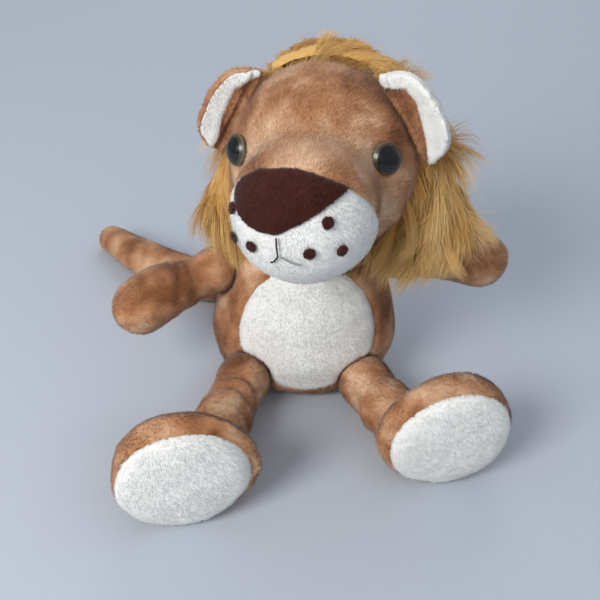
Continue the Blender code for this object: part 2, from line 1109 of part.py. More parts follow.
def make_mane(centre_frame, room):
    gap = math.degrees(seam_gap / head_half_width)
    locks = [("mane_crown", -mane_crown_end, mane_crown_end, False)]
    for side, hand in (("right", -1), ("left", 1)):
        start = hand * (mane_crown_end + gap)
        locks.append((f"mane_{side}_temple", start, hand * mane_temple_end, False))
        start = hand * (mane_temple_end + gap)
        locks.append((f"mane_{side}_cheek", start, hand * mane_cheek_end, True))
    for name, start, end, closed_round in locks:
        mesh = mane_mesh(name, start, end, closed_round)
        lock = add_object(name, mesh, mane_pile(), centre_frame)
        shaped(lock, room)


# Limbs


def limb_mesh(name, rows, root, length, tip, along, up, inset, sides, levels):
    """Skin of a limb: a half ball about its joint, the rows' ovals, and a round tip.

    Each row holds a place, half sizes across and up, a lift, a sway, a roll and a turn.
    """
    across = along.cross(up)
    straight = length - tip
    profile = [(-root, 0.0, 0.0)]
    caps = levels // 3
    for level in range(1, caps):
        angle = math.pi / 2 * level / caps
        reach = root * math.sin(angle)
        profile.append((-root * math.cos(angle), reach, reach))
    for level in range(levels - caps):
        place = straight * level / (levels - caps - 1)
        half_width, half_height = eased(rows, place)[:2]
        profile.append((place, half_width, half_height))
    half_width, half_height = profile[-1][1:]
    for level in range(1, caps):
        angle = math.pi / 2 * level / caps
        reach = math.cos(angle)
        rise = tip * math.sin(angle)
        profile.append((straight + rise, half_width * reach, half_height * reach))
    profile.append((length, 0.0, 0.0))
    middle, ahead = limb_middle(rows, straight, along, up)
    rings = []
    for place, half_width, half_height in inset_profile(profile, inset):
        _, _, lift, sway, roll, turn = eased(rows, min(max(place, 0.0), straight))
        centre = along * place + up * lift + across * sway
        if place > straight:
            centre = middle + ahead * (place - straight)
        level_way = across * math.cos(turn) + along * math.sin(turn)
        rings.append(
            oval_ring(
                centre,
                level_way * math.cos(roll) + up * math.sin(roll),
                up * math.cos(roll) - level_way * math.sin(roll),
                half_width,
                half_height,
                sides,
            )
        )
    start = along * (inset - root)
    return skin_mesh(name, rings, start, middle + ahead * (tip - inset))


def limb_middle(rows, place, along, up):
    """Centre of a limb at a place, and the way it faces there."""
    across = along.cross(up)
    _, _, lift, sway, _, turn = eased(rows, place)
    middle = along * place + up * lift + across * sway
    return middle, along * math.cos(turn) - across * math.sin(turn)


def stuffed_limb(name, rows, root, length, tip, along, up, frame):
    """Cover, hollow and stuffing of a limb. The cover is open at its root."""
    shape = (rows, root, length, tip, along, up)
    lining = (limb_lining_sides, limb_levels)
    cover = add_object(
        f"{name}_cover",
        limb_mesh(f"{name}_cover", *shape, 0, limb_sides, limb_levels),
        brown_plush(),
        frame,
    )
    hollow = cutter(
        f"{name}_hollow", limb_mesh(f"{name}_hollow", *shape, cover_wall, *lining), frame
    )
    shaped(cover, hollow)
    mouth = cutter(
        f"{name}_mouth",
        ball_mesh(f"{name}_mouth", hollow_mouth, hollow_mouth, hollow_mouth, limb_lining_sides),
        frame,
    )
    mouth.location = along * -root
    shaped(cover, mouth)
    add_object(
        f"{name}_stuffing",
        limb_mesh(f"{name}_stuffing", *shape, cover_wall + seam_gap, *lining),
        stuffing_fibre(),
        frame,
    )
    return cover, hollow


def arm_rows():
    straight = arm_length - paw_tip
    waist = arm_waist_share * straight
    middle = arm_middle_share * straight
    return (
        (0, arm_root_radius, arm_root_radius, 0, 0, 0, 0),
        (waist, arm_waist_radius, arm_waist_radius, 0, 0, 0, 0),
        (middle, arm_middle_radius, arm_middle_radius, arm_bend, 0, 0, 0),
        (straight, paw_half_width, paw_half_height, 0, 0, 0, 0),
    )


def shoulder_frame(side, hand, back, height, forward, down):
    turn = turned(hand * -forward, "Z") @ turned(hand * down, "Y")
    return empty(
        f"shoulder_{side}",
        None,
        (hand * shoulder_side, back, height),
        turn,
    )


def make_arm(side, hand, frame):
    along = Vector((hand, 0, 0))
    up = Vector((0, 0, 1))
    stuffed_limb(f"arm_{side}", arm_rows(), arm_root_radius, arm_length, paw_tip, along, up, frame)


def leg_rows(length, hand, sway, turn):
    shin = length - foot_depth
    deep = foot_depth - sole_dome
    roll = -hand * math.radians(foot_roll)
    turn = -hand * math.radians(turn)
    sway = -hand * sway
    rows = [
        (0, leg_root_radius, leg_root_radius, 0, 0, 0, 0),
        (leg_waist_share * shin, leg_waist_radius, leg_waist_radius, 0, 0, 0, 0),
        (leg_calf_share * shin, leg_calf_radius, leg_calf_radius, 0, 0, 0, 0),
        (shin, ankle_radius, ankle_radius, 0, sway / 2, 0, 0),
    ]
    for place_share, width_share, height_share in foot_shares:
        half_height = height_share * foot_half_height
        rows.append(
            (
                shin + place_share * deep,
                width_share * foot_half_width,
                half_height,
                half_height - flat_depth - hip_height,
                sway,
                roll,
                turn * place_share,
            )
        )
    return rows


def hip_frame(side, hand, splay):
    return empty(
        f"hip_{side}",
        None,
        (hand * hip_side, -hip_forward, hip_height),
        turned(hand * splay, "Z"),
    )


def make_leg(side, hand, length, sway, turn, frame, floor):
    along = Vector((0, -1, 0))
    up = Vector((0, 0, 1))
    rows = leg_rows(length, hand, sway, turn)
    cover, hollow = stuffed_limb(
        f"leg_{side}", rows, leg_root_radius, length, sole_dome, along, up, frame
    )
    straight = length - sole_dome
    middle, ahead = limb_middle(rows, straight, along, up)
    seam_frame = empty(
        f"sole_{side}_seam",
        frame,
        middle - ahead * sole_seam_set_back,
        ahead.to_track_quat("Z", "Y").to_matrix(),
    )
    reach = foot_half_width + foot_half_height
    ahead_box = slab_mesh(f"sole_{side}_ahead", 0, overrun, reach)
    behind_box = slab_mesh(f"sole_{side}_behind", seam_gap, -length - overrun, reach)
    shape = (rows, leg_root_radius, length, sole_dome, along, up)
    sole = add_object(
        f"sole_{side}",
        limb_mesh(f"sole_{side}", *shape, 0, limb_sides, tip_levels),
        white_plush(),
        frame,
    )
    shaped(sole, hollow)
    shaped(sole, cutter(f"sole_{side}_behind", behind_box, seam_frame))
    shaped(sole, floor)
    shaped(cover, cutter(f"sole_{side}_ahead", ahead_box, seam_frame))
    shaped(cover, floor)


def tail_frame():
    return empty(
        "tail_root",
        None,
        (-tail_side, tail_back, tail_height),
        turned(tail_aside, "Z"),
    )


def make_tail(frame, floor):
    straight = tail_length - tail_tip
    down = -flat_depth - tail_height
    rows = (
        (0, tail_root_radius, tail_root_radius, 0, 0, 0, 0),
        (
            tail_waist_share * straight,
            tail_waist_radius,
            tail_waist_radius,
            (tail_waist_radius + down) / 2,
            -tail_bend * tail_waist_bend_share,
            0,
            math.radians(tail_waist_turn),
        ),
        (
            tail_middle_share * straight,
            tail_middle_radius,
            tail_middle_radius,
            tail_middle_radius + down,
            -tail_bend,
            0,
            math.radians(tail_middle_turn),
        ),
        (
            straight,
            tail_end_radius,
            tail_end_radius,
            tail_end_radius + down,
            -tail_bend * tail_end_bend_share,
            0,
            math.radians(tail_end_turn),
        ),
    )
    shape = (rows, tail_root_radius, tail_length, tail_tip, Vector((0, 1, 0)), Vector((0, 0, 1)))
    mesh = limb_mesh("tail", *shape, 0, tail_sides, tip_levels)
    shaped(add_object("tail", mesh, brown_plush(), frame), floor)


# Assembly


def clear_scene():
    for old in list(bpy.data.objects):
        bpy.data.objects.remove(old, do_unlink=True)


def main():
    clear_scene()
    floor = floor_cutter()
    neck_frame = empty(
        "neck_pivot",
        None,
        (neck_side, -neck_forward, neck_height),
        turned(-head_turned, "Z"),
    )
    lean = turned(-head_leaned, "Y") @ turned(-head_tipped_up, "X")
    head_frame = empty("head_pivot", neck_frame, (0, 0, 0), lean)
    centre_frame = empty(
        "head_centre", head_frame, (0, -head_forward, head_lift), Matrix.Identity(3)
    )
    muzzle_frame = empty(
        "muzzle_centre",
        centre_frame,
        (muzzle_aside, -muzzle_forward, -muzzle_drop),
        turned(-muzzle_turned, "Z"),
    )
    right_shoulder = shoulder_frame(
        "right",
        -1,
        shoulder_right_back,
        shoulder_right_height,
        arm_right_forward,
        arm_right_down,
    )
    left_shoulder = shoulder_frame(
        "left",
        1,
        shoulder_left_back,
        shoulder_left_height,
        arm_left_forward,
        arm_left_down,
    )
    right_hip = hip_frame("right", -1, leg_right_splay)
    left_hip = hip_frame("left", 1, leg_left_splay)
    tail_pivot = tail_frame()
    dimples = [
        ball_cutter("neck_dimple", neck_radius, neck_frame),
        ball_cutter("shoulder_right_dimple", arm_root_radius, right_shoulder),
        ball_cutter("shoulder_left_dimple", arm_root_radius, left_shoulder),
        ball_cutter("hip_right_dimple", leg_root_radius, right_hip),
        ball_cutter("hip_left_dimple", leg_root_radius, left_hip),
        ball_cutter("tail_dimple", tail_root_radius, tail_pivot),
    ]
    make_torso(floor, dimples)
    neck_mesh = ball_mesh("neck", neck_radius, neck_radius, neck_radius, ball_sides)
    add_object("neck", neck_mesh, brown_plush(), neck_frame)
    grooves = [
        make_ear("right", -1, ear_right_height, centre_frame),
        make_ear("left", 1, ear_left_height, centre_frame),
    ]
    eyes = [
        make_eye("right", -1, centre_frame),
        make_eye("left", 1, centre_frame),
    ]
    neck_socket = ball_cutter("neck_socket", neck_radius, head_frame)
    make_head(centre_frame, muzzle_frame, neck_socket, grooves, eyes)
    make_muzzle(centre_frame, muzzle_frame)
    make_nose(muzzle_frame)
    make_dots(muzzle_frame)
    make_mouth(muzzle_frame)
    room = bpy.data.objects["head_room"]
    make_mane(centre_frame, room)
    make_arm("right", -1, right_shoulder)
    make_arm("left", 1, left_shoulder)
    make_leg("right", -1, leg_right_length, leg_right_sway, foot_right_turn, right_hip, floor)
    make_leg("left", 1, leg_left_length, leg_left_sway, foot_left_turn, left_hip, floor)
    make_tail(tail_pivot, floor)


main()
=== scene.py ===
"""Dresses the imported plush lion: stuffed skins, short pile, a long mane and glossy eyes.

Metres, +Z up. The toy faces -Y and its own right is -X.
"""

import json
import math

import bmesh
import bpy
import numpy as np
from bpy.props import FloatProperty, FloatVectorProperty, IntProperty, PointerProperty
from mathutils import Matrix, Vector, noise
from mathutils.bvhtree import BVHTree

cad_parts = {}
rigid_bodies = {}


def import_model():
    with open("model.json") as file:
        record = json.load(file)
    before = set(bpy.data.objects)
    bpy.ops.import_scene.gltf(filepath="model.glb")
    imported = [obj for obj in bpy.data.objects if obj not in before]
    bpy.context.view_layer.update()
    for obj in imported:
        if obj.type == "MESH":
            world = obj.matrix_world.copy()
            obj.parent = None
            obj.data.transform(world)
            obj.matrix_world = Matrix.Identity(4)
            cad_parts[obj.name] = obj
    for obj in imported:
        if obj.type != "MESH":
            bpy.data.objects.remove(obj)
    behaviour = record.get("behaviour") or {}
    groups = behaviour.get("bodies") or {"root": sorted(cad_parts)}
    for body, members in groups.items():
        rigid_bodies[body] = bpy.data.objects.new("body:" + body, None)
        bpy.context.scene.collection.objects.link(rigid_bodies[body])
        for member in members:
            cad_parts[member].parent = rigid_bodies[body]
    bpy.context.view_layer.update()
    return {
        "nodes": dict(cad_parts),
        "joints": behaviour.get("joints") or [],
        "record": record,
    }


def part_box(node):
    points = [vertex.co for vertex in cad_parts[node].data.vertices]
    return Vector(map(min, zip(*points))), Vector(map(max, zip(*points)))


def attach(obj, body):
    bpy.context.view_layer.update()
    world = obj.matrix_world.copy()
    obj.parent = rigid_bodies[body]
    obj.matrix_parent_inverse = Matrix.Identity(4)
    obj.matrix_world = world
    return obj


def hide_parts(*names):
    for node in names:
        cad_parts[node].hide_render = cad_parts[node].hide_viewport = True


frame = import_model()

bl_info = {
    "name": "Plush Lion",
    "version": (1, 0, 0),
    "blender": (4, 5, 0),
    "location": "3D View > Sidebar > Plush Lion",
    "description": "Makes the stuffed skins, pile, mane and eyes of a sitting plush lion",
    "category": "Object",
}

pile_map = "OFBake"
nap_sheen_layer = "tone"


def length_value(name, description, default):
    return FloatProperty(name=name, description=description, default=default, unit="LENGTH", precision=5)


def share_value(name, description, default):
    return FloatProperty(name=name, description=description, default=default, min=0.0, max=1.0)


def angle_value(name, description, degrees):
    return FloatProperty(
        name=name, description=description, default=math.radians(degrees), subtype="ANGLE"
    )


def colour_value(name, description, default):
    return FloatVectorProperty(
        name=name, description=description, default=default, size=3, subtype="COLOR", min=0.0, max=1.0
    )


class PlushColours(bpy.types.PropertyGroup):
    """Colours of the fabrics and the eyes"""

    # Each fabric comes as a shaded copy (painted shade of the pile seen into its roots or lying away from the
    # light), its own colour, and a lit copy (painted sheen of the pile lying towards the light).
    brown_deep: colour_value("Brown, deep", "Brown pile seen into its roots", (0.215, 0.083, 0.034))
    brown: colour_value("Brown", "Brown pile", (0.46, 0.218, 0.104))
    brown_light: colour_value("Brown, light", "Brown pile lying towards the light", (0.74, 0.49, 0.31))
    white_deep: colour_value("White, deep", "White pile seen into its roots", (0.72, 0.72, 0.68))
    white: colour_value("White", "White pile", (0.84, 0.84, 0.80))
    white_light: colour_value("White, light", "White pile lying to the light", (0.90, 0.90, 0.87))
    maroon_deep: colour_value("Maroon, deep", "Nose pile seen into its roots", (0.030, 0.007, 0.005))
    maroon: colour_value("Maroon", "Nose pile", (0.052, 0.014, 0.010))
    maroon_light: colour_value("Maroon, light", "Nose pile lying to the light", (0.088, 0.026, 0.019))
    # For the mane the shaded copy is painted shade near the roots and the lit copy is painted light on the tips.
    gold_deep: colour_value("Gold, deep", "Mane near its roots", (0.36, 0.135, 0.030))
    gold: colour_value("Gold", "Mane hair", (0.68, 0.40, 0.125))
    gold_light: colour_value("Gold, light", "Mane tips", (0.86, 0.63, 0.29))
    thread: colour_value("Thread", "Mouth thread", (0.02, 0.017, 0.015))
    thread_faint: colour_value("Thread, faint", "Mouth thread sunk in the pile", (0.30, 0.31, 0.30))
    iris_inner: colour_value("Iris, inner", "Olive ring of the eyes beside the pupil", (0.012, 0.009, 0.005))
    iris: colour_value("Iris", "Olive ring of the eyes", (0.040, 0.030, 0.014))
    iris_edge: colour_value("Iris, edge", "Clear edge of the eyes", (0.13, 0.11, 0.065))
    pupil: colour_value("Pupil", "Black middle of the eyes", (0.003, 0.003, 0.003))
    plastic: colour_value("Plastic", "Washers that lock the eyes", (0.72, 0.72, 0.70))
    floor: colour_value("Floor", "Pale floor", (0.50, 0.545, 0.61))


class PlushShape(bpy.types.PropertyGroup):
    """Making of the stuffed skins"""

    voxel: length_value("Voxel", "Grid on which a stuffed form is made whole", 0.003)
    fine_voxel: length_value("Fine voxel", "The same grid for the ears", 0.0012)
    relax: IntProperty(name="Relax", description="Rounds of smoothing of a form", default=5)
    wall: length_value("Wall", "Thickness of a sewn panel", 0.0008)
    seam_depth: length_value("Seam depth", "How deep a seam lies between its panels", 0.0011)
    seam_width: length_value("Seam width", "Half width of the dip along a seam", 0.0016)
    ear_roll: length_value("Ear roll", "How far the lining wraps round the ear's edge", 0.0022)
    ear_wrap: length_value("Ear wrap", "How far the brown wraps over the other ear's edge", 0.0014)
    ear_rim: length_value("Ear rim", "Height of the soft rim round the lining of an ear", 0.0014)
    pupil_share: FloatProperty(
        name="Pupil share", description="Black middle of an eye, against its solid", default=1.09
    )
    crease_width: length_value("Crease width", "How far the fold behind the muzzle is rounded", 0.009)
    crease_rounds: IntProperty(name="Crease rounds", description="Rounds of its smoothing", default=25)
    start_inset: length_value("Start inset", "How much smaller a form starts before it is filled", 0.0008)
    shrink_cap: length_value("Shrink cap", "How far the filling may let a point sink", 0.0002)
    swell_cap: length_value("Swell cap", "How far the filling may push a point out", 0.0022)
    pressure: FloatProperty(name="Pressure", description="Pressure of the stuffing", default=4.0)
    swell_frames: IntProperty(name="Swell frames", description="Frames of the filling", default=20)
    lump_size: length_value("Lump size", "Size of the lumps of stuffing", 0.020)
    lump_depth: length_value("Lump depth", "Height of the lumps of stuffing", 0.0007)


class PlushPile(bpy.types.PropertyGroup):
    """Short pile of the fabrics"""

    brown_length: length_value("Brown length", "Length of the brown pile", 0.0017)
    white_length: length_value("White length", "Length of the white pile", 0.0015)
    nose_length: length_value("Nose length", "Length of the nose pile", 0.0010)
    thickness: length_value("Thickness", "Half thickness of a tuft at its root", 0.00024)
    spacing: length_value("Spacing", "Distance between tufts", 0.00074)
    nap_size: length_value("Nap size", "Size of the patches in which the pile lies one way", 0.009)
    lean: FloatProperty(name="Lean", description="How far the pile leans, against standing", default=1.9)
    drift: FloatProperty(name="Drift", description="How much the way of the pile wanders", default=0.7)
    # Contrast and calm set how strong the painted sheen and shade of the nap patches are.
    contrast: FloatProperty(
        name="Contrast", description="How much the patches of the brown nap differ", default=1.15
    )
    calm: share_value("Calm", "Contrast of the white and maroon nap, as a share of the brown", 0.4)
    softness: share_value("Softness", "How much a tuft is shaded as the fabric under it", 0.8)
    speckle: share_value("Speckle", "How much single tufts differ", 0.06)


class PlushMane(bpy.types.PropertyGroup):
    """Long pile around the head"""

    strands: IntProperty(name="Strands", description="Strands of the whole mane", default=42000)
    joints: IntProperty(name="Points", description="Points along a strand", default=5)
    crown_length: length_value("Crown length", "Length of the pile over the head", 0.017)
    side_length: length_value("Side length", "Length of the pile beside the cheeks", 0.029)
    sunk: length_value("Sunk", "How deep the backing lies under the outside of the pile", 0.0045)
    thickness: length_value("Thickness", "Half thickness of a strand at its root", 0.00011)
    clump: IntProperty(name="Clump", description="Strands that cling together", default=60)
    cling: share_value("Cling", "How close the tips of a clump come together", 0.28)
    lift: FloatProperty(name="Lift", description="How far the strands stand up from the backing", default=0.50)
    lie: FloatProperty(name="Lie", description="How soon the strands bend back to lie down", default=0.28)
    fall: FloatProperty(name="Fall", description="How soon the strands bend down", default=0.30)
    softness: share_value("Softness", "How much a strand is shaded as the mane under it", 0.55)


class PlushStage(bpy.types.PropertyGroup):
    """Camera, floor and lights"""

    distance: length_value("Distance", "From the camera to what it looks at", 0.42)
    aim: FloatVectorProperty(
        name="Aim",
        description="Point that the camera looks at",
        default=(-0.0058, -0.0397, 0.070),
        size=3,
        subtype="TRANSLATION",
    )
    elevation: angle_value("Elevation", "Height of the camera above the floor", 36.0)
    azimuth: angle_value("Azimuth", "Turn of the camera about the toy", -4.0)
    roll: angle_value("Roll", "Tilt of the camera", 4.0)
    view: angle_value("View", "Angle that the picture takes in", 36.87)
    floor_size: length_value("Floor size", "Side of the floor", 12.0)


# Helpers


def settings(name):
    return getattr(bpy.context.scene, "plush_lion_" + name)


def alone(piece):
    """Leave object mode with only this piece selected and active."""
    if bpy.context.mode != "OBJECT":
        bpy.ops.object.mode_set(mode="OBJECT")
    bpy.ops.object.select_all(action="DESELECT")
    if piece is not None:
        piece.select_set(True)
        bpy.context.view_layer.objects.active = piece


def points_of(piece):
    flat = np.empty(len(piece.data.vertices) * 3)
    piece.data.vertices.foreach_get("co", flat)
    return flat.reshape(-1, 3)


def move_points(piece, points):
    piece.data.vertices.foreach_set("co", points.astype(np.float32).ravel())
    piece.data.update()


def normals_of(piece):
    flat = np.empty(len(piece.data.vertices) * 3)
    piece.data.vertex_normals.foreach_get("vector", flat)
    return flat.reshape(-1, 3)


def unit(vectors):
    return vectors / np.maximum(np.linalg.norm(vectors, axis=-1, keepdims=True), 1e-12)


def apply_all(piece):
    alone(piece)
    for step in list(piece.modifiers):
        bpy.ops.object.modifier_apply(modifier=step.name)


def smooth_noise(points, size, seed):
    """Soft noise from -1 to 1 at each point, with lumps of this size."""
    shift = Vector((seed * 7.3, seed * 3.1, seed * 5.7))
    return np.array([noise.noise(Vector(point) / size + shift) for point in points])


def noise_vectors(points, size, seed):
    shift = Vector((seed * 2.9, seed * 8.3, seed * 4.1))
    return np.array([noise.noise_vector(Vector(point) / size + shift) for point in points])


def nap_sheen_and_shade(points, fabric):
    """How light the pile looks at each point, from 0 to 1, in soft brushed patches: painted sheen and shade of
    pile lying one way or another.
    """
    pile = settings("pile")
    brushed = points + 0.3 * pile.nap_size * noise_vectors(points, pile.nap_size * 1.3, 5)
    broad = smooth_noise(brushed, pile.nap_size * 2.0, 3)
    fine = smooth_noise(brushed, pile.nap_size * 0.75, 4)
    contrast = pile.contrast * (1.0 if fabric == "brown" else pile.calm)
    tone = 0.46 + contrast * (0.7 * broad + 0.3 * fine)
    # Painted sheen: near the muzzle bridge the brown nap is painted lighter.
    if fabric == "brown":
        bridge = np.mean([vertex.co for vertex in frame["nodes"]["muzzle_bridge"].data.vertices], axis=0)
        near = 0.7 * np.exp(-((np.linalg.norm(points - bridge, axis=1) / 0.021) ** 2))
        tone = tone * (1 - near) + 0.78 * near
    return np.clip(tone, 0.0, 1.0)


def tree_of(*nodes):
    """Search tree over the solids of CAD nodes."""
    points = []
    faces = []
    for node in nodes:
        mesh = frame["nodes"][node].data
        start = len(points)
        points += [vertex.co.copy() for vertex in mesh.vertices]
        faces += [[start + index for index in face.vertices] for face in mesh.polygons]
    return BVHTree.FromPolygons(points, faces)


def distances(points, tree):
    return np.array([tree.find_nearest(Vector(point))[3] for point in points])


def joint(name):
    return next(entry for entry in frame["joints"] if entry["name"] == name)


def body_of(node):
    groups = frame["record"]["behaviour"]["bodies"]
    return next(body for body, members in groups.items() if node in members)


# Materials


class Link:
    """A shader value that Python arithmetic can be written on."""

    def __init__(self, finish, socket):
        self.finish = finish
        self.socket = socket

    def maths(self, operation, first, second):
        return self.finish.node("ShaderNodeMath", {"operation": operation}, {0: first, 1: second})

    def __add__(self, other):
        return self.maths("ADD", self, other)

    def __radd__(self, other):
        return self.maths("ADD", other, self)

    def __sub__(self, other):
        return self.maths("SUBTRACT", self, other)

    def __rsub__(self, other):
        return self.maths("SUBTRACT", other, self)

    def __mul__(self, other):
        return self.maths("MULTIPLY", self, other)

    def __rmul__(self, other):
        return self.maths("MULTIPLY", other, self)


class Finish:
    """A material and the nodes that draw it."""

    def __init__(self, name):
        self.material = bpy.data.materials.new(name)
        self.material.use_nodes = True
        self.tree = self.material.node_tree
        self.shader = self.tree.nodes["Principled BSDF"]

    def feed(self, socket, value):
        if isinstance(value, Link):
            self.tree.links.new(value.socket, socket)
        elif isinstance(value, (tuple, list)) and len(value) == 3 and socket.type == "RGBA":
            socket.default_value = (*value, 1.0)
        else:
            socket.default_value = value

    def node(self, kind, choices=None, inputs=None, output=0):
        made = self.tree.nodes.new(kind)
        for name, value in (choices or {}).items():
            if name == "stops":
                self.set_stops(made.color_ramp, value)
            else:
                setattr(made, name, value)
        for name, value in (inputs or {}).items():
            self.feed(made.inputs[name], value)
        return Link(self, made.outputs[output])

    def set_stops(self, ramp, stops):
        while len(ramp.elements) < len(stops):
            ramp.elements.new(0.5)
        for element, (place, colour) in zip(ramp.elements, stops):
            element.position = place
            element.color = (*colour, 1.0)

    def place(self):
        return self.node("ShaderNodeTexCoord", output="Object")

    def grain(self, where, size, detail=2.0, distortion=0.0):
        """Noise whose lumps have this size in metres."""
        inputs = {"Vector": where, "Scale": 1.0 / size, "Detail": detail, "Distortion": distortion}
        return self.node("ShaderNodeTexNoise", {}, inputs, "Fac")

    def ramp(self, value, *stops):
        return self.node("ShaderNodeValToRGB", {"stops": stops}, {"Fac": value})

    def mix(self, share, first, second, way="MIX"):
        choices = {"data_type": "RGBA", "blend_type": way}
        return self.node("ShaderNodeMix", choices, {0: share, 6: first, 7: second}, 2)

    def bump(self, height, strength, distance):
        inputs = {"Height": height, "Strength": strength, "Distance": distance}
        return self.node("ShaderNodeBump", {}, inputs)

    def set(self, **values):
        for name, value in values.items():
            self.feed(self.shader.inputs[name.replace("_", " ")], value)
        return self.material


def fabric_colours(fabric):
    colours = settings("colours")
    # The shaded copy, the own colour and the lit copy of a fabric, for painted shade and sheen.
    return [tuple(getattr(colours, fabric + end)) for end in ("_deep", "", "_light")]


def plush_skin(fabric):
    """Backing of a pile fabric, with the painted sheen and shade of the patches of its nap and a fine grain."""
    name = f"{fabric}_plush_skin"
    if name in bpy.data.materials:
        return bpy.data.materials[name]
    deep, middle, light = fabric_colours(fabric)
    finish = Finish(name)
    nap = finish.node("ShaderNodeAttribute", {"attribute_name": nap_sheen_layer}, output="Fac")
    grain = finish.grain(finish.place(), 0.0006, 3.0)
    # The ramp runs from the shaded copy to the lit copy of the fabric.
    colour = finish.ramp(nap * 0.85 + grain * 0.3 - 0.08, (0.05, deep), (0.45, middle), (0.95, light))
    return finish.set(
        Base_Color=colour,
        Roughness=0.95,
        Sheen_Weight=0.22,
        Sheen_Roughness=0.5,
        Specular_IOR_Level=0.05,
        Normal=finish.bump(grain, 0.5, 0.0004),
    )


def pile_hair(fabric):
    """Tufts of a fabric: the map runs from dark to light tufts, painted shade and sheen of the nap, and from root
    to tip.
    """
    name = f"{fabric}_pile"
    if name in bpy.data.materials:
        return bpy.data.materials[name]
    deep, middle, light = fabric_colours(fabric)
    finish = Finish(name)
    where = finish.node("ShaderNodeUVMap", {"uv_map": pile_map})
    tone = finish.node("ShaderNodeSeparateXYZ", {}, {0: where}, "X")
    along = finish.node("ShaderNodeSeparateXYZ", {}, {0: where}, "Y")
    body = finish.ramp(tone, (0.05, deep), (0.45, middle), (0.95, light))
    # Painted shade: the roots of the tufts are drawn a fifth of the way towards the shaded colour.
    root = finish.mix(0.2, body, deep)
    return finish.set(
        Base_Color=finish.mix(along, root, body),
        Roughness=0.95,
        Sheen_Weight=0.22,
        Specular_IOR_Level=0.05,
    )


def plain_finish(name, colour, **values):
    """A smooth finish with a little unevenness in its colour."""
    if name in bpy.data.materials:
        return bpy.data.materials[name]
    finish = Finish(name)
    grain = finish.grain(finish.place(), 0.002)
    dim = tuple(0.8 * part for part in tuple(colour))
    return finish.set(Base_Color=finish.mix(grain, dim, tuple(colour)), **values)


# Stores the painted sheen and shade of the nap at each point of a skin.
def store_nap_sheen(piece, fabric):
    layer = piece.data.attributes.new(nap_sheen_layer, "FLOAT", "POINT")
    layer.data.foreach_set("value", nap_sheen_and_shade(points_of(piece), fabric).astype(np.float32))


def wear(piece, material):
    piece.data.materials.clear()
    piece.data.materials.append(material)


# Stuffed forms


def merged_copy(name, nodes):
    """One new object from copies of CAD solids, with the doubled points merged."""
    alone(None)
    copies = []
    for node in nodes:
        made = bpy.data.objects.new(f"{name}_{node}", frame["nodes"][node].data.copy())
        bpy.context.collection.objects.link(made)
        copies.append(made)
    for made in copies:
        made.select_set(True)
    bpy.context.view_layer.objects.active = copies[0]
    if len(copies) > 1:
        bpy.ops.object.join()
    piece = copies[0]
    piece.name = name
    piece.data.name = name
    piece.data.materials.clear()
    alone(piece)
    bpy.ops.object.mode_set(mode="EDIT")
    bpy.ops.mesh.select_all(action="SELECT")
    bpy.ops.mesh.remove_doubles(threshold=1e-6)
    bpy.ops.object.mode_set(mode="OBJECT")
    return piece


def keep_largest(piece):
    """Drop every loose part but the one that reaches furthest."""
    work = bmesh.new()
    work.from_mesh(piece.data)
    seen = set()
    parts = []
    for start in work.verts:
        if start in seen:
            continue
        part = []
        stack = [start]
        seen.add(start)
        while stack:
            here = stack.pop()
            part.append(here)
            for edge in here.link_edges:
                other = edge.other_vert(here)
                if other not in seen:
                    seen.add(other)
                    stack.append(other)
        parts.append(part)
    parts.sort(key=lambda part: -max((vertex.co - part[0].co).length for vertex in part))
    spare = [vertex for part in parts[1:] for vertex in part]
    bmesh.ops.delete(work, geom=spare, context="VERTS")
    bmesh.ops.recalc_face_normals(work, faces=work.faces)
    work.to_mesh(piece.data)
    work.free()


def relax(piece, rounds):
    step = piece.modifiers.new("relax", "SMOOTH")
    step.factor = 0.5
    step.iterations = rounds
    apply_all(piece)


def subdivide(piece, levels):
    step = piece.modifiers.new("subdivide", "SUBSURF")
    step.levels = levels
    step.render_levels = levels
    apply_all(piece)


def stuffed_form(name, nodes, voxel, rounds):
    """Closed smooth skin over all of these solids together."""
    piece = merged_copy(name, nodes)
    piece.data.remesh_voxel_size = voxel
    piece.data.remesh_voxel_adaptivity = 0.0
    bpy.ops.object.voxel_remesh()
    keep_largest(piece)
    relax(piece, rounds)
    return piece


def seam_place(points, own, other):
    """Signed distance along the skin from the seam between two panels, above 0 on the first."""
    near = distances(points, own)
    far = distances(points, other)
    square = far**2 - near**2
    return np.sign(square) * np.sqrt(np.abs(square))


def fill_with_stuffing(piece, seam):
    """Let the stuffing swell a form between its seams, which stay where they are."""
    shape = settings("shape")
    start = points_of(piece)
    outward = normals_of(piece)
    weights = np.exp(-((seam / (2.0 * shape.seam_width)) ** 2))
    move_points(piece, start - outward * shape.start_inset * (1 - weights)[:, None])
    held = piece.vertex_groups.new(name="seams")
    for index in np.flatnonzero(weights > 0.02):
        held.add([int(index)], float(weights[index]), "REPLACE")
    step = piece.modifiers.new("stuffing", "CLOTH")
    step.settings.use_pressure = True
    step.settings.uniform_pressure_force = shape.pressure
    step.settings.effector_weights.gravity = 0.0
    step.settings.vertex_group_mass = held.name
    step.point_cache.frame_start = 1
    step.point_cache.frame_end = shape.swell_frames
    for number in range(1, shape.swell_frames + 1):
        bpy.context.scene.frame_set(number)
    swollen = piece.evaluated_get(bpy.context.evaluated_depsgraph_get())
    flat = np.empty(len(start) * 3)
    swollen.data.vertices.foreach_get("co", flat)
    moved = flat.reshape(-1, 3) - start
    rise = np.sum(moved * outward, axis=1)
    moved += outward * (np.maximum(rise, -shape.shrink_cap) - rise)[:, None]
    reach = np.linalg.norm(moved, axis=1, keepdims=True)
    moved *= np.minimum(1.0, shape.swell_cap / np.maximum(reach, 1e-9))
    alone(piece)
    piece.modifiers.remove(step)
    piece.vertex_groups.remove(held)
    bpy.context.scene.frame_set(1)
    move_points(piece, start + moved)


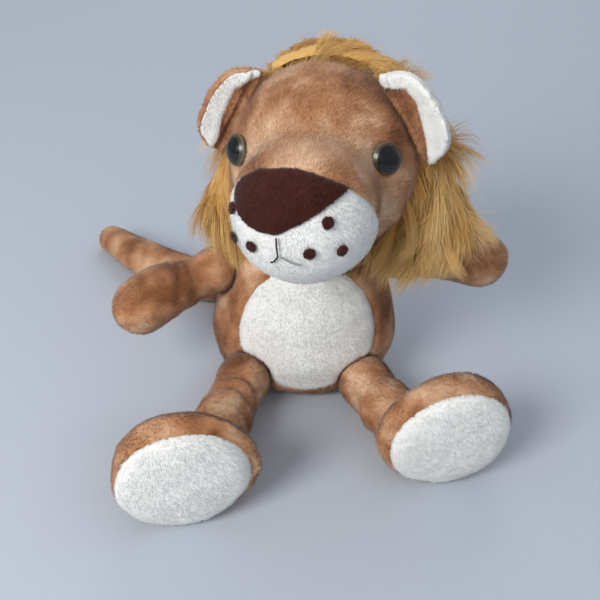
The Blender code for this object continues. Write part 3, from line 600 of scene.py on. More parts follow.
def add_lumps(piece, seed):
    shape = settings("shape")
    points = points_of(piece)
    rise = smooth_noise(points, shape.lump_size, seed) * shape.lump_depth
    rise += smooth_noise(points, shape.lump_size / 2.7, seed + 1) * shape.lump_depth / 3
    move_points(piece, points + normals_of(piece) * rise[:, None])


def add_creases(piece, start, end, creases, seed):
    """Folds around a limb: each is a place along it in metres, a depth and a half width."""
    start = np.array(start)
    along = unit(np.array(end) - start)
    points = points_of(piece)
    place = (points - start) @ along
    wander = smooth_noise(points, 0.012, seed) * 0.004
    fade = 0.5 + 0.5 * smooth_noise(points, 0.016, seed + 3)
    rise = np.zeros(len(points))
    for where, depth, width in creases:
        near = (place - where - wander) / width
        rise += (0.45 * np.exp(-((near - 1.6) ** 2)) - np.exp(-(near**2))) * depth * fade
    move_points(piece, points + normals_of(piece) * rise[:, None])


def clear_floor(piece, low=0.0):
    """Nothing of a skin goes below the floor."""
    points = points_of(piece)
    points[:, 2] = np.maximum(points[:, 2], low)
    move_points(piece, points)


def sink_seam(piece, seam):
    shape = settings("shape")
    dip = shape.seam_depth * np.exp(-((seam / shape.seam_width) ** 2))
    move_points(piece, points_of(piece) - normals_of(piece) * dip[:, None])


def evened(piece, values, rounds):
    """Smooth a value over a mesh along its edges."""
    ends = np.empty(len(piece.data.edges) * 2, np.int32)
    piece.data.edges.foreach_get("vertices", ends)
    first, second = ends.reshape(-1, 2).T
    links = np.bincount(ends, minlength=len(values))
    for _ in range(rounds):
        total = np.bincount(first, values[second], len(values))
        total += np.bincount(second, values[first], len(values))
        values = 0.5 * values + 0.5 * total / np.maximum(links, 1)
    return values


def split_off(piece, name, values):
    """Cut a piece along the line where the value at its points is 0, and part off what is below."""
    values = np.where(np.abs(values) < 1e-7, 1e-7, values)
    work = bmesh.new()
    work.from_mesh(piece.data)
    bmesh.ops.triangulate(work, faces=work.faces)
    level = work.verts.layers.float.new("level")
    for vertex, value in zip(work.verts, values):
        vertex[level] = value
    crossed = [edge for edge in work.edges if edge.verts[0][level] * edge.verts[1][level] < 0]
    added = set()
    for edge in crossed:
        start, end = edge.verts
        share = start[level] / (start[level] - end[level])
        vertex = bmesh.utils.edge_split(edge, start, min(max(share, 0.02), 0.98))[1]
        vertex[level] = 0.0
        added.add(vertex)
    for face in [face for face in work.faces if len(added.intersection(face.verts)) == 2]:
        bmesh.utils.face_split(face, *added.intersection(face.verts))
    chosen = [sum(vertex[level] for vertex in face.verts) < 0 for face in work.faces]
    work.to_mesh(piece.data)
    work.free()
    alone(piece)
    mesh = piece.data
    mesh.attributes.remove(mesh.attributes["level"])
    bpy.ops.object.mode_set(mode="EDIT")
    bpy.ops.mesh.select_mode(type="FACE")
    bpy.ops.mesh.select_all(action="DESELECT")
    bpy.ops.object.mode_set(mode="OBJECT")
    mesh.polygons.foreach_set("select", chosen)
    before = set(bpy.data.objects)
    bpy.ops.object.mode_set(mode="EDIT")
    bpy.ops.mesh.separate(type="SELECTED")
    bpy.ops.object.mode_set(mode="OBJECT")
    made = next(iter(set(bpy.data.objects) - before))
    made.name = name
    made.data.name = name
    return made


def give_wall(piece):
    step = piece.modifiers.new("wall", "SOLIDIFY")
    step.thickness = settings("shape").wall
    step.offset = -1.0
    step.use_rim = True
    apply_all(piece)


def finish_skin(piece, body, fabric, nodes):
    store_nap_sheen(piece, fabric)
    wear(piece, plush_skin(fabric))
    alone(piece)
    bpy.ops.object.shade_smooth()
    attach(piece, body)
    if nodes:
        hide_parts(*nodes)


# Pile and hair


def surface_samples(piece, count, seed):
    """Even random places on a mesh, with the way out of it at each."""
    mesh = piece.data
    mesh.calc_loop_triangles()
    corners = np.empty(len(mesh.loop_triangles) * 3, np.int32)
    mesh.loop_triangles.foreach_get("vertices", corners)
    corners = corners.reshape(-1, 3)
    points = points_of(piece)
    outward = normals_of(piece)
    a, b, c = (points[corners[:, side]] for side in range(3))
    area = np.linalg.norm(np.cross(b - a, c - a), axis=1) / 2
    picks = np.random.default_rng(seed)
    if count is None:
        count = int(area.sum() / settings("pile").spacing ** 2)
    which = picks.choice(len(area), count, p=area / area.sum())
    u = np.sqrt(picks.random(count))[:, None]
    v = picks.random(count)[:, None]
    shares = (1 - u, u * (1 - v), u * v)
    place = sum(share * points[corners[which, side]] for side, share in enumerate(shares))
    way = sum(share * outward[corners[which, side]] for side, share in enumerate(shares))
    return place, unit(way), picks


def self_side(faces, side, per):
    """Which faces of a strand lie on one of its three sides."""
    columns = [{corner % 3 for corner in face if corner != per - 1} for face in faces.tolist()]
    wanted = {side, (side + 1) % 3}
    return np.array([column == wanted for column in columns])


def strand_mesh(name, paths, radii, tones, outward, softness, own_inside=False):
    """Closed thin strands with three sides, the flat one outward, and their map.

    The softness is how much a strand is shaded as the fabric that it grows from. With
    own_inside, that is only so on its flat side.
    """
    count, joints = paths.shape[:2]
    along = unit(np.gradient(paths, axis=1))
    side = unit(np.cross(outward + 0.02 * along[:, 0, ::-1], along[:, 0]))[:, None, :]
    side = unit(side - along * np.sum(side * along, axis=2, keepdims=True))
    across = np.cross(along, side)
    rings = []
    ways = []
    rim = []
    for corner in range(3):
        angle = math.tau * corner / 3 + math.pi / 6
        turn = math.cos(angle) * side + math.sin(angle) * across
        rings.append(paths + turn * radii[:, :, None])
        rim.append(turn)
        ways.append(unit(softness * outward[:, None, :] + (1 - softness) * turn))
    rings = np.stack(rings, axis=2)[:, :-1]
    ways = np.stack(ways, axis=2)[:, :-1]
    per = (joints - 1) * 3 + 1
    points = np.concatenate((rings.reshape(count, -1, 3), paths[:, -1:]), axis=1)
    ways = np.concatenate((ways.reshape(count, -1, 3), outward[:, None, :]), axis=1)
    faces = [(2, 1, 0)]
    for level in range(joints - 2):
        for corner in range(3):
            after = (corner + 1) % 3
            low = level * 3
            faces.append((low + corner, low + after, low + 3 + after))
            faces.append((low + corner, low + 3 + after, low + 3 + corner))
    last = (joints - 2) * 3
    for corner in range(3):
        faces.append((last + corner, last + (corner + 1) % 3, per - 1))
    faces = np.array(faces)
    every = (faces[None] + (np.arange(count) * per)[:, None, None]).reshape(-1)
    mesh = bpy.data.meshes.new(name)
    mesh.vertices.add(count * per)
    mesh.vertices.foreach_set("co", points.astype(np.float32).ravel())
    mesh.loops.add(len(every))
    mesh.loops.foreach_set("vertex_index", every.astype(np.int32))
    mesh.polygons.add(len(every) // 3)
    mesh.polygons.foreach_set("loop_start", np.arange(0, len(every), 3, dtype=np.int32))
    mesh.polygons.foreach_set("use_smooth", np.ones(len(every) // 3, bool))
    mesh.update(calc_edges=True)
    width = 0.006
    across_map = np.array([-width, width, 0.0])
    place = np.zeros((per, 2))
    for level in range(joints - 1):
        place[level * 3 : level * 3 + 3, 0] = across_map
        place[level * 3 : level * 3 + 3, 1] = level / (joints - 1) + np.array([0.0, 0.0, 0.02])
    place[-1] = (0.0, 1.0)
    where = np.repeat(place[None], count, axis=0)
    where[:, :, 0] += 0.02 + 0.96 * tones[:, None]
    layer = mesh.uv_layers.new(name=pile_map)
    layer.data.foreach_set("uv", where.reshape(-1, 2)[every].astype(np.float32).ravel())
    if own_inside:
        corners = ways[:, faces]
        levels = np.minimum(np.minimum(faces.max(axis=1), per - 2) // 3, joints - 2)
        for inner, (first, second) in enumerate(((1, 2), (2, 0)), start=1):
            here = (np.arange(len(faces)) > 0) & self_side(faces, inner, per)
            middle = unit(rim[first] + rim[second])[:, levels[here]]
            corners[:, here] = middle[:, :, None, :]
        mesh.normals_split_custom_set(corners.reshape(-1, 3).tolist())
    else:
        mesh.normals_split_custom_set_from_vertices(ways.reshape(-1, 3).tolist())
    made = bpy.data.objects.new(name, mesh)
    bpy.context.collection.objects.link(made)
    return made


def short_pile(skin, name, body, fabric, length, seed, comb=(0.0, 0.3, -1.0), count=None):
    """Short tufts all over a skin. They lie one way in patches, and the tufts are painted lighter and darker with
    the sheen and shade of the nap.
    """
    pile = settings("pile")
    place, outward, picks = surface_samples(skin, count, seed)
    drift = noise_vectors(place, pile.nap_size * 1.6, seed)
    calm = 1.0 if fabric == "brown" else pile.calm
    flow = np.array(comb) + calm * (pile.drift * drift + 0.25 * picks.standard_normal(place.shape))
    flow -= outward * np.sum(flow * outward, axis=1, keepdims=True)
    lean = pile.lean * (1.0 if fabric == "brown" else 1.4)
    way = unit(outward + lean * unit(flow) * (0.55 + 0.5 * picks.random((len(place), 1))))
    reach = length * (0.65 + 0.55 * picks.random(len(place)))
    root = place - outward * 0.25 * length
    tip = place + way * reach[:, None]
    tip[:, 2] = np.maximum(tip[:, 2], 0.0)
    root[:, 2] = np.maximum(root[:, 2], 0.0)
    # Each tuft's tone is the painted sheen and shade of its nap patch, with random speckle.
    tones = np.clip(nap_sheen_and_shade(place, fabric) + pile.speckle * picks.standard_normal(len(place)), 0.0, 1.0)
    radii = np.repeat([[pile.thickness, 0.0]], len(place), axis=0)
    softness = pile.softness if fabric == "brown" else 0.5 + 0.5 * pile.softness
    made = strand_mesh(name, np.stack((root, tip), axis=1), radii, tones, outward, softness)
    wear(made, pile_hair(fabric))
    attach(made, body)
    return made


# Head frame


def head_turn_matrix():
    """The way the head is turned, leaned and tipped up at rest."""
    turned = Matrix.Rotation(math.radians(-17.0), 3, "Z")
    leaned = Matrix.Rotation(math.radians(-7.0), 3, "Y")
    tipped = Matrix.Rotation(math.radians(-7.0), 3, "X")
    return np.array(turned @ leaned @ tipped)


def head_centre():
    pivot = np.array(joint("head_nod")["pos_m"])
    return pivot + head_turn_matrix() @ np.array((0.0, -0.008, 0.037))


def in_head(points):
    return (points - head_centre()) @ head_turn_matrix()


# Pieces


def make_single(name, nodes, body, fabric, seed, comb, creases=()):
    """A stuffed piece of one fabric, with its pile."""
    shape = settings("shape")
    piece = stuffed_form(name, nodes, shape.voxel, shape.relax)
    fill_with_stuffing(piece, np.full(len(piece.data.vertices), 1.0))
    subdivide(piece, 1)
    add_lumps(piece, seed)
    for start, end, folds in creases:
        add_creases(piece, start, end, folds, seed)
    clear_floor(piece)
    finish_skin(piece, body, fabric, nodes)
    length = settings("pile").brown_length
    tufts = name.replace("_skin", "_pile")
    return piece, short_pile(piece, tufts, body, fabric, length, seed, comb)


def make_pair(name, panel_name, nodes, panel_nodes, body, seed, comb, creases=()):
    """A stuffed brown piece with a white panel sewn into it."""
    shape = settings("shape")
    pile = settings("pile")
    piece = stuffed_form(name, [*nodes, *panel_nodes], shape.voxel, shape.relax)
    cover = tree_of(*[node for node in nodes if not node.endswith("_stuffing")])
    panel = tree_of(*panel_nodes)
    fill_with_stuffing(piece, seam_place(points_of(piece), cover, panel))
    subdivide(piece, 1)
    add_lumps(piece, seed)
    for start, end, folds in creases:
        add_creases(piece, start, end, folds, seed)
    seam = evened(piece, seam_place(points_of(piece), cover, panel), 3)
    sink_seam(piece, seam)
    clear_floor(piece)
    panel_piece = split_off(piece, panel_name, seam)
    down = (0.0, 0.3, -1.0)
    for made, fabric, slot, stands_for, length, number, way in (
        (piece, "brown", "brown_plush", nodes, pile.brown_length, seed, comb),
        (panel_piece, "white", "white_plush", panel_nodes, pile.white_length, seed + 40, down),
    ):
        tufts = made.name.replace("_skin", "_pile")
        short_pile(made, tufts, body, fabric, length, number, way)
        give_wall(made)
        finish_skin(made, body, fabric, stands_for)
    return piece, panel_piece


class PLUSH_OT_torso(bpy.types.Operator):
    """Stuffed torso with the white tummy panel sewn into it"""

    bl_idname = "plush.torso"
    bl_label = "Torso"

    def execute(self, context):
        make_pair(
            "torso_skin",
            "tummy_skin",
            ["torso_cover", "torso_stuffing"],
            ["tummy_panel"],
            "torso",
            11,
            (0.0, 0.3, -1.0),
        )
        return {"FINISHED"}


class PLUSH_OT_limbs(bpy.types.Operator):
    """Arms, legs with their soles, tail and neck"""

    bl_idname = "plush.limbs"
    bl_label = "Limbs"

    def execute(self, context):
        for seed, side in ((21, "right"), (23, "left")):
            shoulder = joint(f"shoulder_{side}")["pos_m"]
            nodes = [f"arm_{side}_cover", f"arm_{side}_stuffing"]
            low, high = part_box(nodes[0])
            paw = (low.x if side == "right" else high.x, (low.y + high.y) / 2, (low.z + high.z) / 2)
            folds = ((0.012, 0.0010, 0.0022), (0.020, 0.0007, 0.0018))
            crease = ((shoulder, paw, folds),)
            comb = Vector(paw) - Vector(shoulder)
            make_single(
                f"arm_{side}_skin", nodes, f"arm_{side}", "brown", seed, comb * 15, crease
            )
        for seed, side in ((31, "right"), (33, "left")):
            hip = joint(f"hip_{side}")["pos_m"]
            low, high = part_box(f"sole_{side}")
            foot = (low + high) / 2
            folds = ((0.013, 0.0016, 0.0024), (0.024, 0.0013, 0.0022), (0.034, 0.0011, 0.0022))
            make_pair(
                f"leg_{side}_skin",
                f"sole_{side}_skin",
                [f"leg_{side}_cover", f"leg_{side}_stuffing"],
                [f"sole_{side}"],
                f"leg_{side}",
                seed,
                (foot - Vector(hip)) * 12,
                ((hip, foot, folds),),
            )
        make_single("tail_skin", ["tail"], "tail", "brown", 41, (-0.85, 0.5, 0.0))
        make_single("neck_skin", ["neck"], "neck", "brown", 43, (0.0, 0.0, -1.0))
        return {"FINISHED"}


class PLUSH_OT_head(bpy.types.Operator):
    """Stuffed head and muzzle, whose brown bridge and white chin are sewn to it"""

    bl_idname = "plush.head"
    bl_label = "Head"

    def execute(self, context):
        shape = settings("shape")
        pile = settings("pile")
        nodes = ["head_cover", "head_stuffing"]
        piece = stuffed_form(
            "head_skin", [*nodes, "muzzle_bridge", "muzzle_chin"], shape.voxel, shape.relax
        )
        trees = [tree_of(*nodes), tree_of("muzzle_bridge"), tree_of("muzzle_chin")]
        points = points_of(piece)
        gaps = np.array([distances(points, tree) for tree in trees])
        crease = np.exp(-(((gaps[0] - gaps[1]) / shape.crease_width) ** 2))
        crease *= gaps[2] > gaps[0] - 0.002
        self.soften(piece, crease, shape.crease_rounds)
        sewn_on = [name for name in frame["nodes"] if name.split("_")[0] in ("nose", "dot", "mouth")]
        sewn_on += ["eye_right_rim", "eye_left_rim"]
        fill_with_stuffing(piece, distances(points_of(piece), tree_of(*sewn_on)))
        subdivide(piece, 1)
        add_lumps(piece, 51)
        points = points_of(piece)
        head, bridge, chin = (distances(points, tree) for tree in trees)
        other = np.minimum(head, bridge)
        seam = evened(piece, np.sign(chin - other) * np.sqrt(np.abs(chin**2 - other**2)), 3)
        sink_seam(piece, seam)
        chin_piece = split_off(piece, "muzzle_chin_skin", seam)
        points = points_of(piece)
        head, bridge = (distances(points, tree) for tree in trees[:2])
        border = evened(piece, np.sign(bridge - head) * np.sqrt(np.abs(bridge**2 - head**2)), 4)
        bridge_piece = split_off(piece, "muzzle_bridge_skin", border)
        back = (0.0, 1.0, 0.6)
        down = (0.0, 0.3, -1.0)
        for made, fabric, slot, stands_for, length, number, way in (
            (piece, "brown", "brown_plush", nodes, pile.brown_length, 51, back),
            (chin_piece, "white", "white_plush", ["muzzle_chin"], pile.white_length, 61, down),
            (bridge_piece, "brown", "brown_plush", ["muzzle_bridge"], pile.brown_length, 62, back),
        ):
            tufts = made.name.replace("_skin", "_pile")
            short_pile(made, tufts, "head", fabric, length, number, way)
            give_wall(made)
            finish_skin(made, "head", fabric, stands_for)
        return {"FINISHED"}

    def soften(self, piece, weights, rounds):
        """Round a crease off by smoothing a skin where the weight is high."""
        held = piece.vertex_groups.new(name="crease")
        for index in np.flatnonzero(weights > 0.02):
            held.add([int(index)], float(weights[index]), "REPLACE")
        step = piece.modifiers.new("soften", "SMOOTH")
        step.factor = 0.5
        step.iterations = rounds
        step.vertex_group = held.name
        apply_all(piece)
        piece.vertex_groups.clear()


class PLUSH_OT_nose(bpy.types.Operator):
    """Nose patch, whisker dots and mouth thread"""

    bl_idname = "plush.nose"
    bl_label = "Nose"

    def execute(self, context):
        pile = settings("pile")
        nose = stuffed_form("nose_skin", ["nose_patch"], 0.0009, 4)
        finish_skin(nose, "head", "maroon", ["nose_patch"])
        short_pile(nose, "nose_pile", "head", "maroon", pile.nose_length, 71, count=9000)
        number = 72
        for name, node in frame["nodes"].items():
            if name.startswith("dot_"):
                store_nap_sheen(node, "maroon")
                wear(node, plush_skin("maroon"))
                tufts = name + "_pile"
                number += 1
                short_pile(
                    node, tufts, "head", "maroon", pile.nose_length, number, count=260
                )
        colours = settings("colours")
        for name, colour in (("line", colours.thread), ("curl", colours.thread_faint)):
            wear(frame["nodes"]["mouth_" + name], plain_finish("thread_" + name, colour, Roughness=0.7))
        return {"FINISHED"}


def eye_frame(node):
    """Middle of a round node, the way it faces, and its radius."""
    points = np.array([vertex.co for vertex in frame["nodes"][node].data.vertices])
    points = np.unique(np.round(points, 7), axis=0)
    middle = points.mean(0)
    facing = np.linalg.svd(points - middle)[2][2]
    if facing @ (middle - head_centre()) < 0:
        facing = -facing
    reach = (points - middle) @ facing
    radius = np.linalg.norm(points - middle - reach[:, None] * facing, axis=1).max()
    return middle, facing, radius, reach.min(), reach.max()


def turned_piece(name, profile, middle, facing, sides):
    """Piece spun from a profile of radius and height about the way it faces."""
    mesh = bpy.data.meshes.new(name)
    edges = [(index, index + 1) for index in range(len(profile) - 1)]
    mesh.from_pydata([(radius, 0.0, height) for radius, height in profile], edges, [])
    made = bpy.data.objects.new(name, mesh)
    bpy.context.collection.objects.link(made)
    alone(made)
    bpy.ops.object.mode_set(mode="EDIT")
    bpy.ops.mesh.select_all(action="SELECT")
    bpy.ops.mesh.spin(steps=sides, angle=math.tau, center=(0, 0, 0), axis=(0, 0, 1))
    bpy.ops.mesh.select_all(action="SELECT")
    bpy.ops.mesh.remove_doubles(threshold=1e-6)
    bpy.ops.mesh.normals_make_consistent(inside=False)
    bpy.ops.object.mode_set(mode="OBJECT")
    turn = Vector(facing).to_track_quat("Z", "Y").to_matrix().to_4x4()
    made.data.transform(Matrix.Translation(Vector(middle)) @ turn)
    bpy.ops.object.shade_smooth_by_angle(angle=math.radians(50.0))
    return made


class PLUSH_OT_eyes(bpy.types.Operator):
    """Glossy eyes: an amber ring and a black middle under one dome"""

    bl_idname = "plush.eyes"
    bl_label = "Eyes"

    def iris_finish(self, middle, facing, radius, inner):
        colours = settings("colours")
        finish = Finish("iris_" + ("right" if middle[0] < 0 else "left"))
        offset = finish.node(
            "ShaderNodeVectorMath", {"operation": "SUBTRACT"}, {0: finish.place(), 1: tuple(middle)}
        )
        away = finish.node("ShaderNodeVectorMath", {"operation": "LENGTH"}, {0: offset}, "Value")
        ring = (away - inner) * (1.0 / (radius - inner))
        grain = finish.grain(finish.place(), 0.0006, 3.0)
        tone = ring + grain * 0.2 - 0.1
        colour = finish.ramp(
            tone,
            (0.05, tuple(colours.iris_inner)),
            (0.45, tuple(colours.iris)),
            (0.80, tuple(colours.iris)),
            (0.97, tuple(colours.iris_edge)),
        )
        return finish.set(
            Base_Color=colour, Roughness=0.4, Coat_Weight=0.6, Coat_Roughness=0.02, Coat_IOR=1.35
        )

    def execute(self, context):
        gloss = plain_finish(
            "eye_black", settings("colours").pupil, Roughness=0.05, Specular_IOR_Level=0.12
        )
        plastic = plain_finish("washer_plastic", settings("colours").plastic, Roughness=0.45)
        for side in ("right", "left"):
            middle, facing, radius, low, high = eye_frame(f"eye_{side}_rim")
            _, _, inner, _, _ = eye_frame(f"eye_{side}_pupil")
            button, _, _, button_low, button_high = eye_frame(f"eye_{side}_pupil")
            base = middle + facing * low
            top = float((button + facing * button_high - base) @ facing)
            edge = 0.0009
            ball = (radius**2 + (top - edge) ** 2) / (2 * (top - edge))
            gap = 0.00005
            inner *= settings("shape").pupil_share
            hole = inner + gap

            def dome(reach):
                return edge + math.sqrt(ball**2 - reach**2) - (ball - (top - edge))

            steps = 7
            ring = [(hole, 0.0)]
            for step in range(steps + 1):
                reach = hole + (radius - hole) * step / steps
                ring.append((reach, dome(min(reach, radius * 0.999))))
            ring += [(radius, 0.0), (hole, 0.0)]
            iris = turned_piece(f"eye_{side}_iris", ring, base, facing, 64)
            wear(iris, self.iris_finish(base + facing * top * 0.7, facing, radius, inner * 0.98))
            profile = [(0.0, 0.0), (inner, 0.0)]
            for step in range(steps + 1):
                reach = inner * (1 - step / steps)
                profile.append((reach, dome(reach)))
            black = turned_piece(f"eye_{side}_black", profile, base, facing, 64)
            wear(black, gloss)
            for made, node, slot in (
                (iris, f"eye_{side}_rim", "eye_amber"),
                (black, f"eye_{side}_pupil", "eye_black"),
            ):
                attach(made, "head")
                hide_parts(node)
            wear(frame["nodes"][f"eye_{side}_stem"], gloss)
            wear(frame["nodes"][f"eye_{side}_washer"], plastic)
        return {"FINISHED"}


class PLUSH_OT_ears(bpy.types.Operator):
    """Ears with a brown back and a white lining, which is hollow inside a soft rim"""

    bl_idname = "plush.ears"
    bl_label = "Ears"

    def middle(self, node):
        return np.mean([vertex.co for vertex in frame["nodes"][node].data.vertices], axis=0)

    def frame_of_ear(self, side):
        """Where the ear bends, the way down along its root, and the way out from it."""
        hinge = joint(f"ear_{side}_bend")
        root = np.array(hinge["pos_m"])
        along = unit(np.array(hinge["axis"], float))
        if along[2] > 0:
            along = -along
        out = self.middle(f"ear_{side}_lining") - root
        return root, along, unit(out - along * (out @ along))

    def height(self, side, points):
        """How far out each point is from the root of the ear."""
        root, _, out = self.frame_of_ear(side)
        return (points - root) @ out

    def fold(self, side, points):
        """How far out the brown fabric folded in at the root reaches. It is partly the head's fabric pulled into
        the ear and partly painted shade of the hollow near the head.
        """
        root, along, out = self.frame_of_ear(side)
        nodes = frame["nodes"][f"ear_{side}_lining"].data.vertices
        spots = np.array([vertex.co for vertex in nodes]) - root
        reach = (spots @ out).max()
        low, high = (spots @ along).min(), (spots @ along).max()
        place = ((points - root) @ along - low) / (high - low)
        if side == "left":
            shares = ((0.0, 0.0), (0.10, 0.0), (0.18, 0.50), (0.35, 0.58), (0.60, 0.45), (0.80, 0.33), (1.0, 0.1))
        else:
            shares = ((0.0, 0.0), (0.08, 0.2), (0.25, 0.46), (0.60, 0.44), (0.85, 0.30), (1.0, 0.3))
        places, parts = zip(*shares)
        return reach * np.interp(place, places, parts)

    def execute(self, context):
        shape = settings("shape")
        pile = settings("pile")
        head = tree_of("head_stuffing", "head_cover")
        for seed, side in ((81, "right"), (85, "left")):
            back_node = f"ear_{side}_back"
            lining_node = f"ear_{side}_lining"
            piece = stuffed_form(f"ear_{side}_back_skin", [back_node, lining_node], shape.fine_voxel, 5)
            back = tree_of(back_node)
            lining = tree_of(lining_node)
            points = points_of(piece)
            outward = normals_of(piece)
            front = unit(self.middle(lining_node) - self.middle(back_node))
            seam = evened(piece, seam_place(points, back, lining), 10)
            root = np.clip((0.0085 - distances(points, head)) / 0.003, 0.0, 1.0)
            root *= outward @ front > 0.25
            seam = seam * (1 - root) - 0.004 * root
            inside = self.height(side, points) - self.fold(side, points)
            band = np.minimum(-seam, inside)
            puff = np.sqrt(np.clip(band / 0.0035, 0.0, 1.0))
            dent = np.clip((-seam - 0.002) / 0.003, 0.0, 1.0) * np.clip(-inside / 0.002, 0.0, 1.0)
            rise = puff - 0.8 * dent + 0.25 * smooth_noise(points, 0.008, seed) * (seam < 0)
            move_points(piece, points + outward * (shape.ear_rim * rise)[:, None])
            edge = shape.ear_roll if side == "left" else -shape.ear_wrap
            # Below the fold the ear stays brown: partly fabric folded in, partly painted shade of the hollow.
            cut = evened(piece, np.maximum(seam - edge * (1 - root), -inside), 3)
            panel = split_off(piece, f"ear_{side}_lining_skin", cut)
            for made, fabric, slot, node, length, number in (
                (piece, "brown", "brown_plush", back_node, pile.brown_length, seed),
                (panel, "white", "white_plush", lining_node, pile.nose_length, seed + 1),
            ):
                tufts = made.name.replace("_skin", "_pile")
                short_pile(made, tufts, f"ear_{side}", fabric, length, number)
                give_wall(made)
                finish_skin(made, f"ear_{side}", fabric, [node])
        return {"FINISHED"}


def flow_of_mane(local):
    """The way the pile runs at a place, in the head's own frame, and how far it is down a side."""
    angle = np.arctan2(local[:, 0], local[:, 2])
    hand = np.tanh((angle + 0.12) / 0.3)
    side = np.clip((np.degrees(np.abs(angle)) - 35.0) / 40.0, 0.0, 1.0)[:, None]
    level = np.zeros(len(local))
    round_head = np.stack((np.cos(angle) * hand, level, -np.sin(np.abs(angle))), axis=1)
    top = 0.6 * round_head + np.array((0.25, 0.75, 0.15))
    hanging = 0.75 * round_head + np.array((0.0, 0.05, -0.55))
    return unit(top * (1 - side) + hanging * side), side[:, 0]


class PLUSH_OT_mane(bpy.types.Operator):
    """Mane: backings that hold it and strands of long pile"""

    bl_idname = "plush.mane"
    bl_label = "Mane"

    def hem(self, lock, reach, count, seed):
        """Places on the head beside a lock, where its first hairs stand."""
        place, outward, _ = surface_samples(bpy.data.objects["head_skin"], 90000, seed + 50)
        near = np.flatnonzero(distances(place, tree_of(lock)) < reach)
        from_middle = np.sum(unit(place[near] - head_centre()) * outward[near], axis=1)
        near = near[from_middle > 0.2][:count]
        return place[near], outward[near]

    def strands(self, name, backing, lock, reach, count, obstacles, seed):
        """Long pile of one lock. Some of it stands on the head beside the lock."""
        mane = settings("mane")
        place, outward, picks = surface_samples(backing, count * 3, seed)
        edge = 0.3 if lock == "mane_crown" else -0.25
        outside = np.sum(unit(place - head_centre()) * outward, axis=1) > edge
        hem_place, hem_outward = self.hem(lock, reach, int(0.3 * count), seed)
        place = np.concatenate((place[outside][: int(0.7 * count)], hem_place))
        outward = np.concatenate((outward[outside][: int(0.7 * count)], hem_outward))
        count = len(place)
        flow, side = flow_of_mane(in_head(place))
        length = mane.crown_length + (mane.side_length - mane.crown_length) * side
        close = (in_head(place)[:, 0] < 0) * side
        lift = (mane.lift * (0.30 + 0.70 * side - 0.75 * close))[:, None]
        lift[count - len(hem_place) :] += 1.1 * (1 - side[count - len(hem_place) :, None])
        lie = (mane.lie * (2.2 - 1.2 * side))[:, None]
        fall = (mane.fall * (0.25 + 0.75 * side + 0.9 * close))[:, None]
        groups = max(count // mane.clump, 1)
        seeds = picks.choice(count, groups, replace=False)
        owner = np.empty(count, int)
        for start in range(0, count, 2000):
            part = place[start : start + 2000]
            gaps = np.linalg.norm(part[:, None] - place[seeds][None], axis=2)
            owner[start : start + 2000] = gaps.argmin(1)
        way = flow @ head_turn_matrix().T
        way -= outward * np.sum(way * outward, axis=1, keepdims=True)
        stray = picks.random(count) < 0.03
        jitter = 0.10 * picks.standard_normal((count, 3))
        jitter[stray] *= 4.0
        jitter += (0.22 * picks.standard_normal((groups, 3)))[owner]
        way = unit(unit(way) + lift * outward + jitter)
        clump_length = 0.8 + 0.35 * picks.random(groups)
        length = length * clump_length[owner] * (0.7 + 0.4 * picks.random(count))
        length[stray] *= 1.2
        joints = mane.joints
        stride = (length / (joints - 1))[:, None]
        paths = np.empty((count, joints, 3))
        paths[:, 0] = place - outward * 0.001
        curl = (0.09 * picks.standard_normal((groups, 3)))[owner]
        down = np.array((0.0, 0.0, -1.0))
        for step in range(1, joints):
            share = step / (joints - 1)
            way = unit(way + down * fall * share - outward * lie * share + curl)
            paths[:, step] = paths[:, step - 1] + way * stride
            guide = paths[seeds, step][owner]
            cling = np.where(stray, 0.0, mane.cling * 0.5 * share)[:, None]
            paths[:, step] -= (paths[:, step] - guide) * cling
            self.clear(paths, step, obstacles)
        taper = np.linspace(1.0, 0.3, joints)[None] * np.ones((count, 1))
        thin = np.where(stray, 0.7, 1.0)[:, None]
        radii = mane.thickness * taper * thin
        clump_tone = 0.5 + 0.10 * picks.standard_normal(groups)
        broad = 0.5 * smooth_noise(place, 0.016, seed)
        tones = clump_tone[owner] + broad + 0.10 * picks.standard_normal(count)
        tones[stray] *= 0.8
        tones = np.clip(tones, 0.0, 1.0)
        made = strand_mesh(name, paths, radii, tones, outward, mane.softness, own_inside=True)
        wear(made, self.hair_finish())
        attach(made, "head")
        return made

    def clear(self, paths, step, obstacles):
        """Keep the strands outside the head, torso and arms, and above the floor."""
        room = 0.0012
        for index in range(len(paths)):
            point = Vector(paths[index, step])
            near, normal, _, gap = obstacles.find_nearest(point, 0.02)
            if near is None:
                continue
            height = (point - near).dot(normal)
            if height < room:
                paths[index, step] = near + normal * room
        paths[:, step, 2] = np.maximum(paths[:, step, 2], room)

    def hair_finish(self):
        name = "mane_hair"
        if name in bpy.data.materials:
            return bpy.data.materials[name]
        deep, middle, light = fabric_colours("gold")
        finish = Finish(name)
        where = finish.node("ShaderNodeUVMap", {"uv_map": pile_map})
        tone = finish.node("ShaderNodeSeparateXYZ", {}, {0: where}, "X")
        along = finish.node("ShaderNodeSeparateXYZ", {}, {0: where}, "Y")
        # Painted shade and light: each strand is drawn darker at its root and lighter at its tip, on top of its
        # own tone.
        shade = tone * 0.6 + along * 0.4 + 0.10
        colour = finish.ramp(shade, (0.05, deep), (0.5, middle), (1.0, light))
        return finish.set(Base_Color=colour, Roughness=0.6, Specular_IOR_Level=0.15)

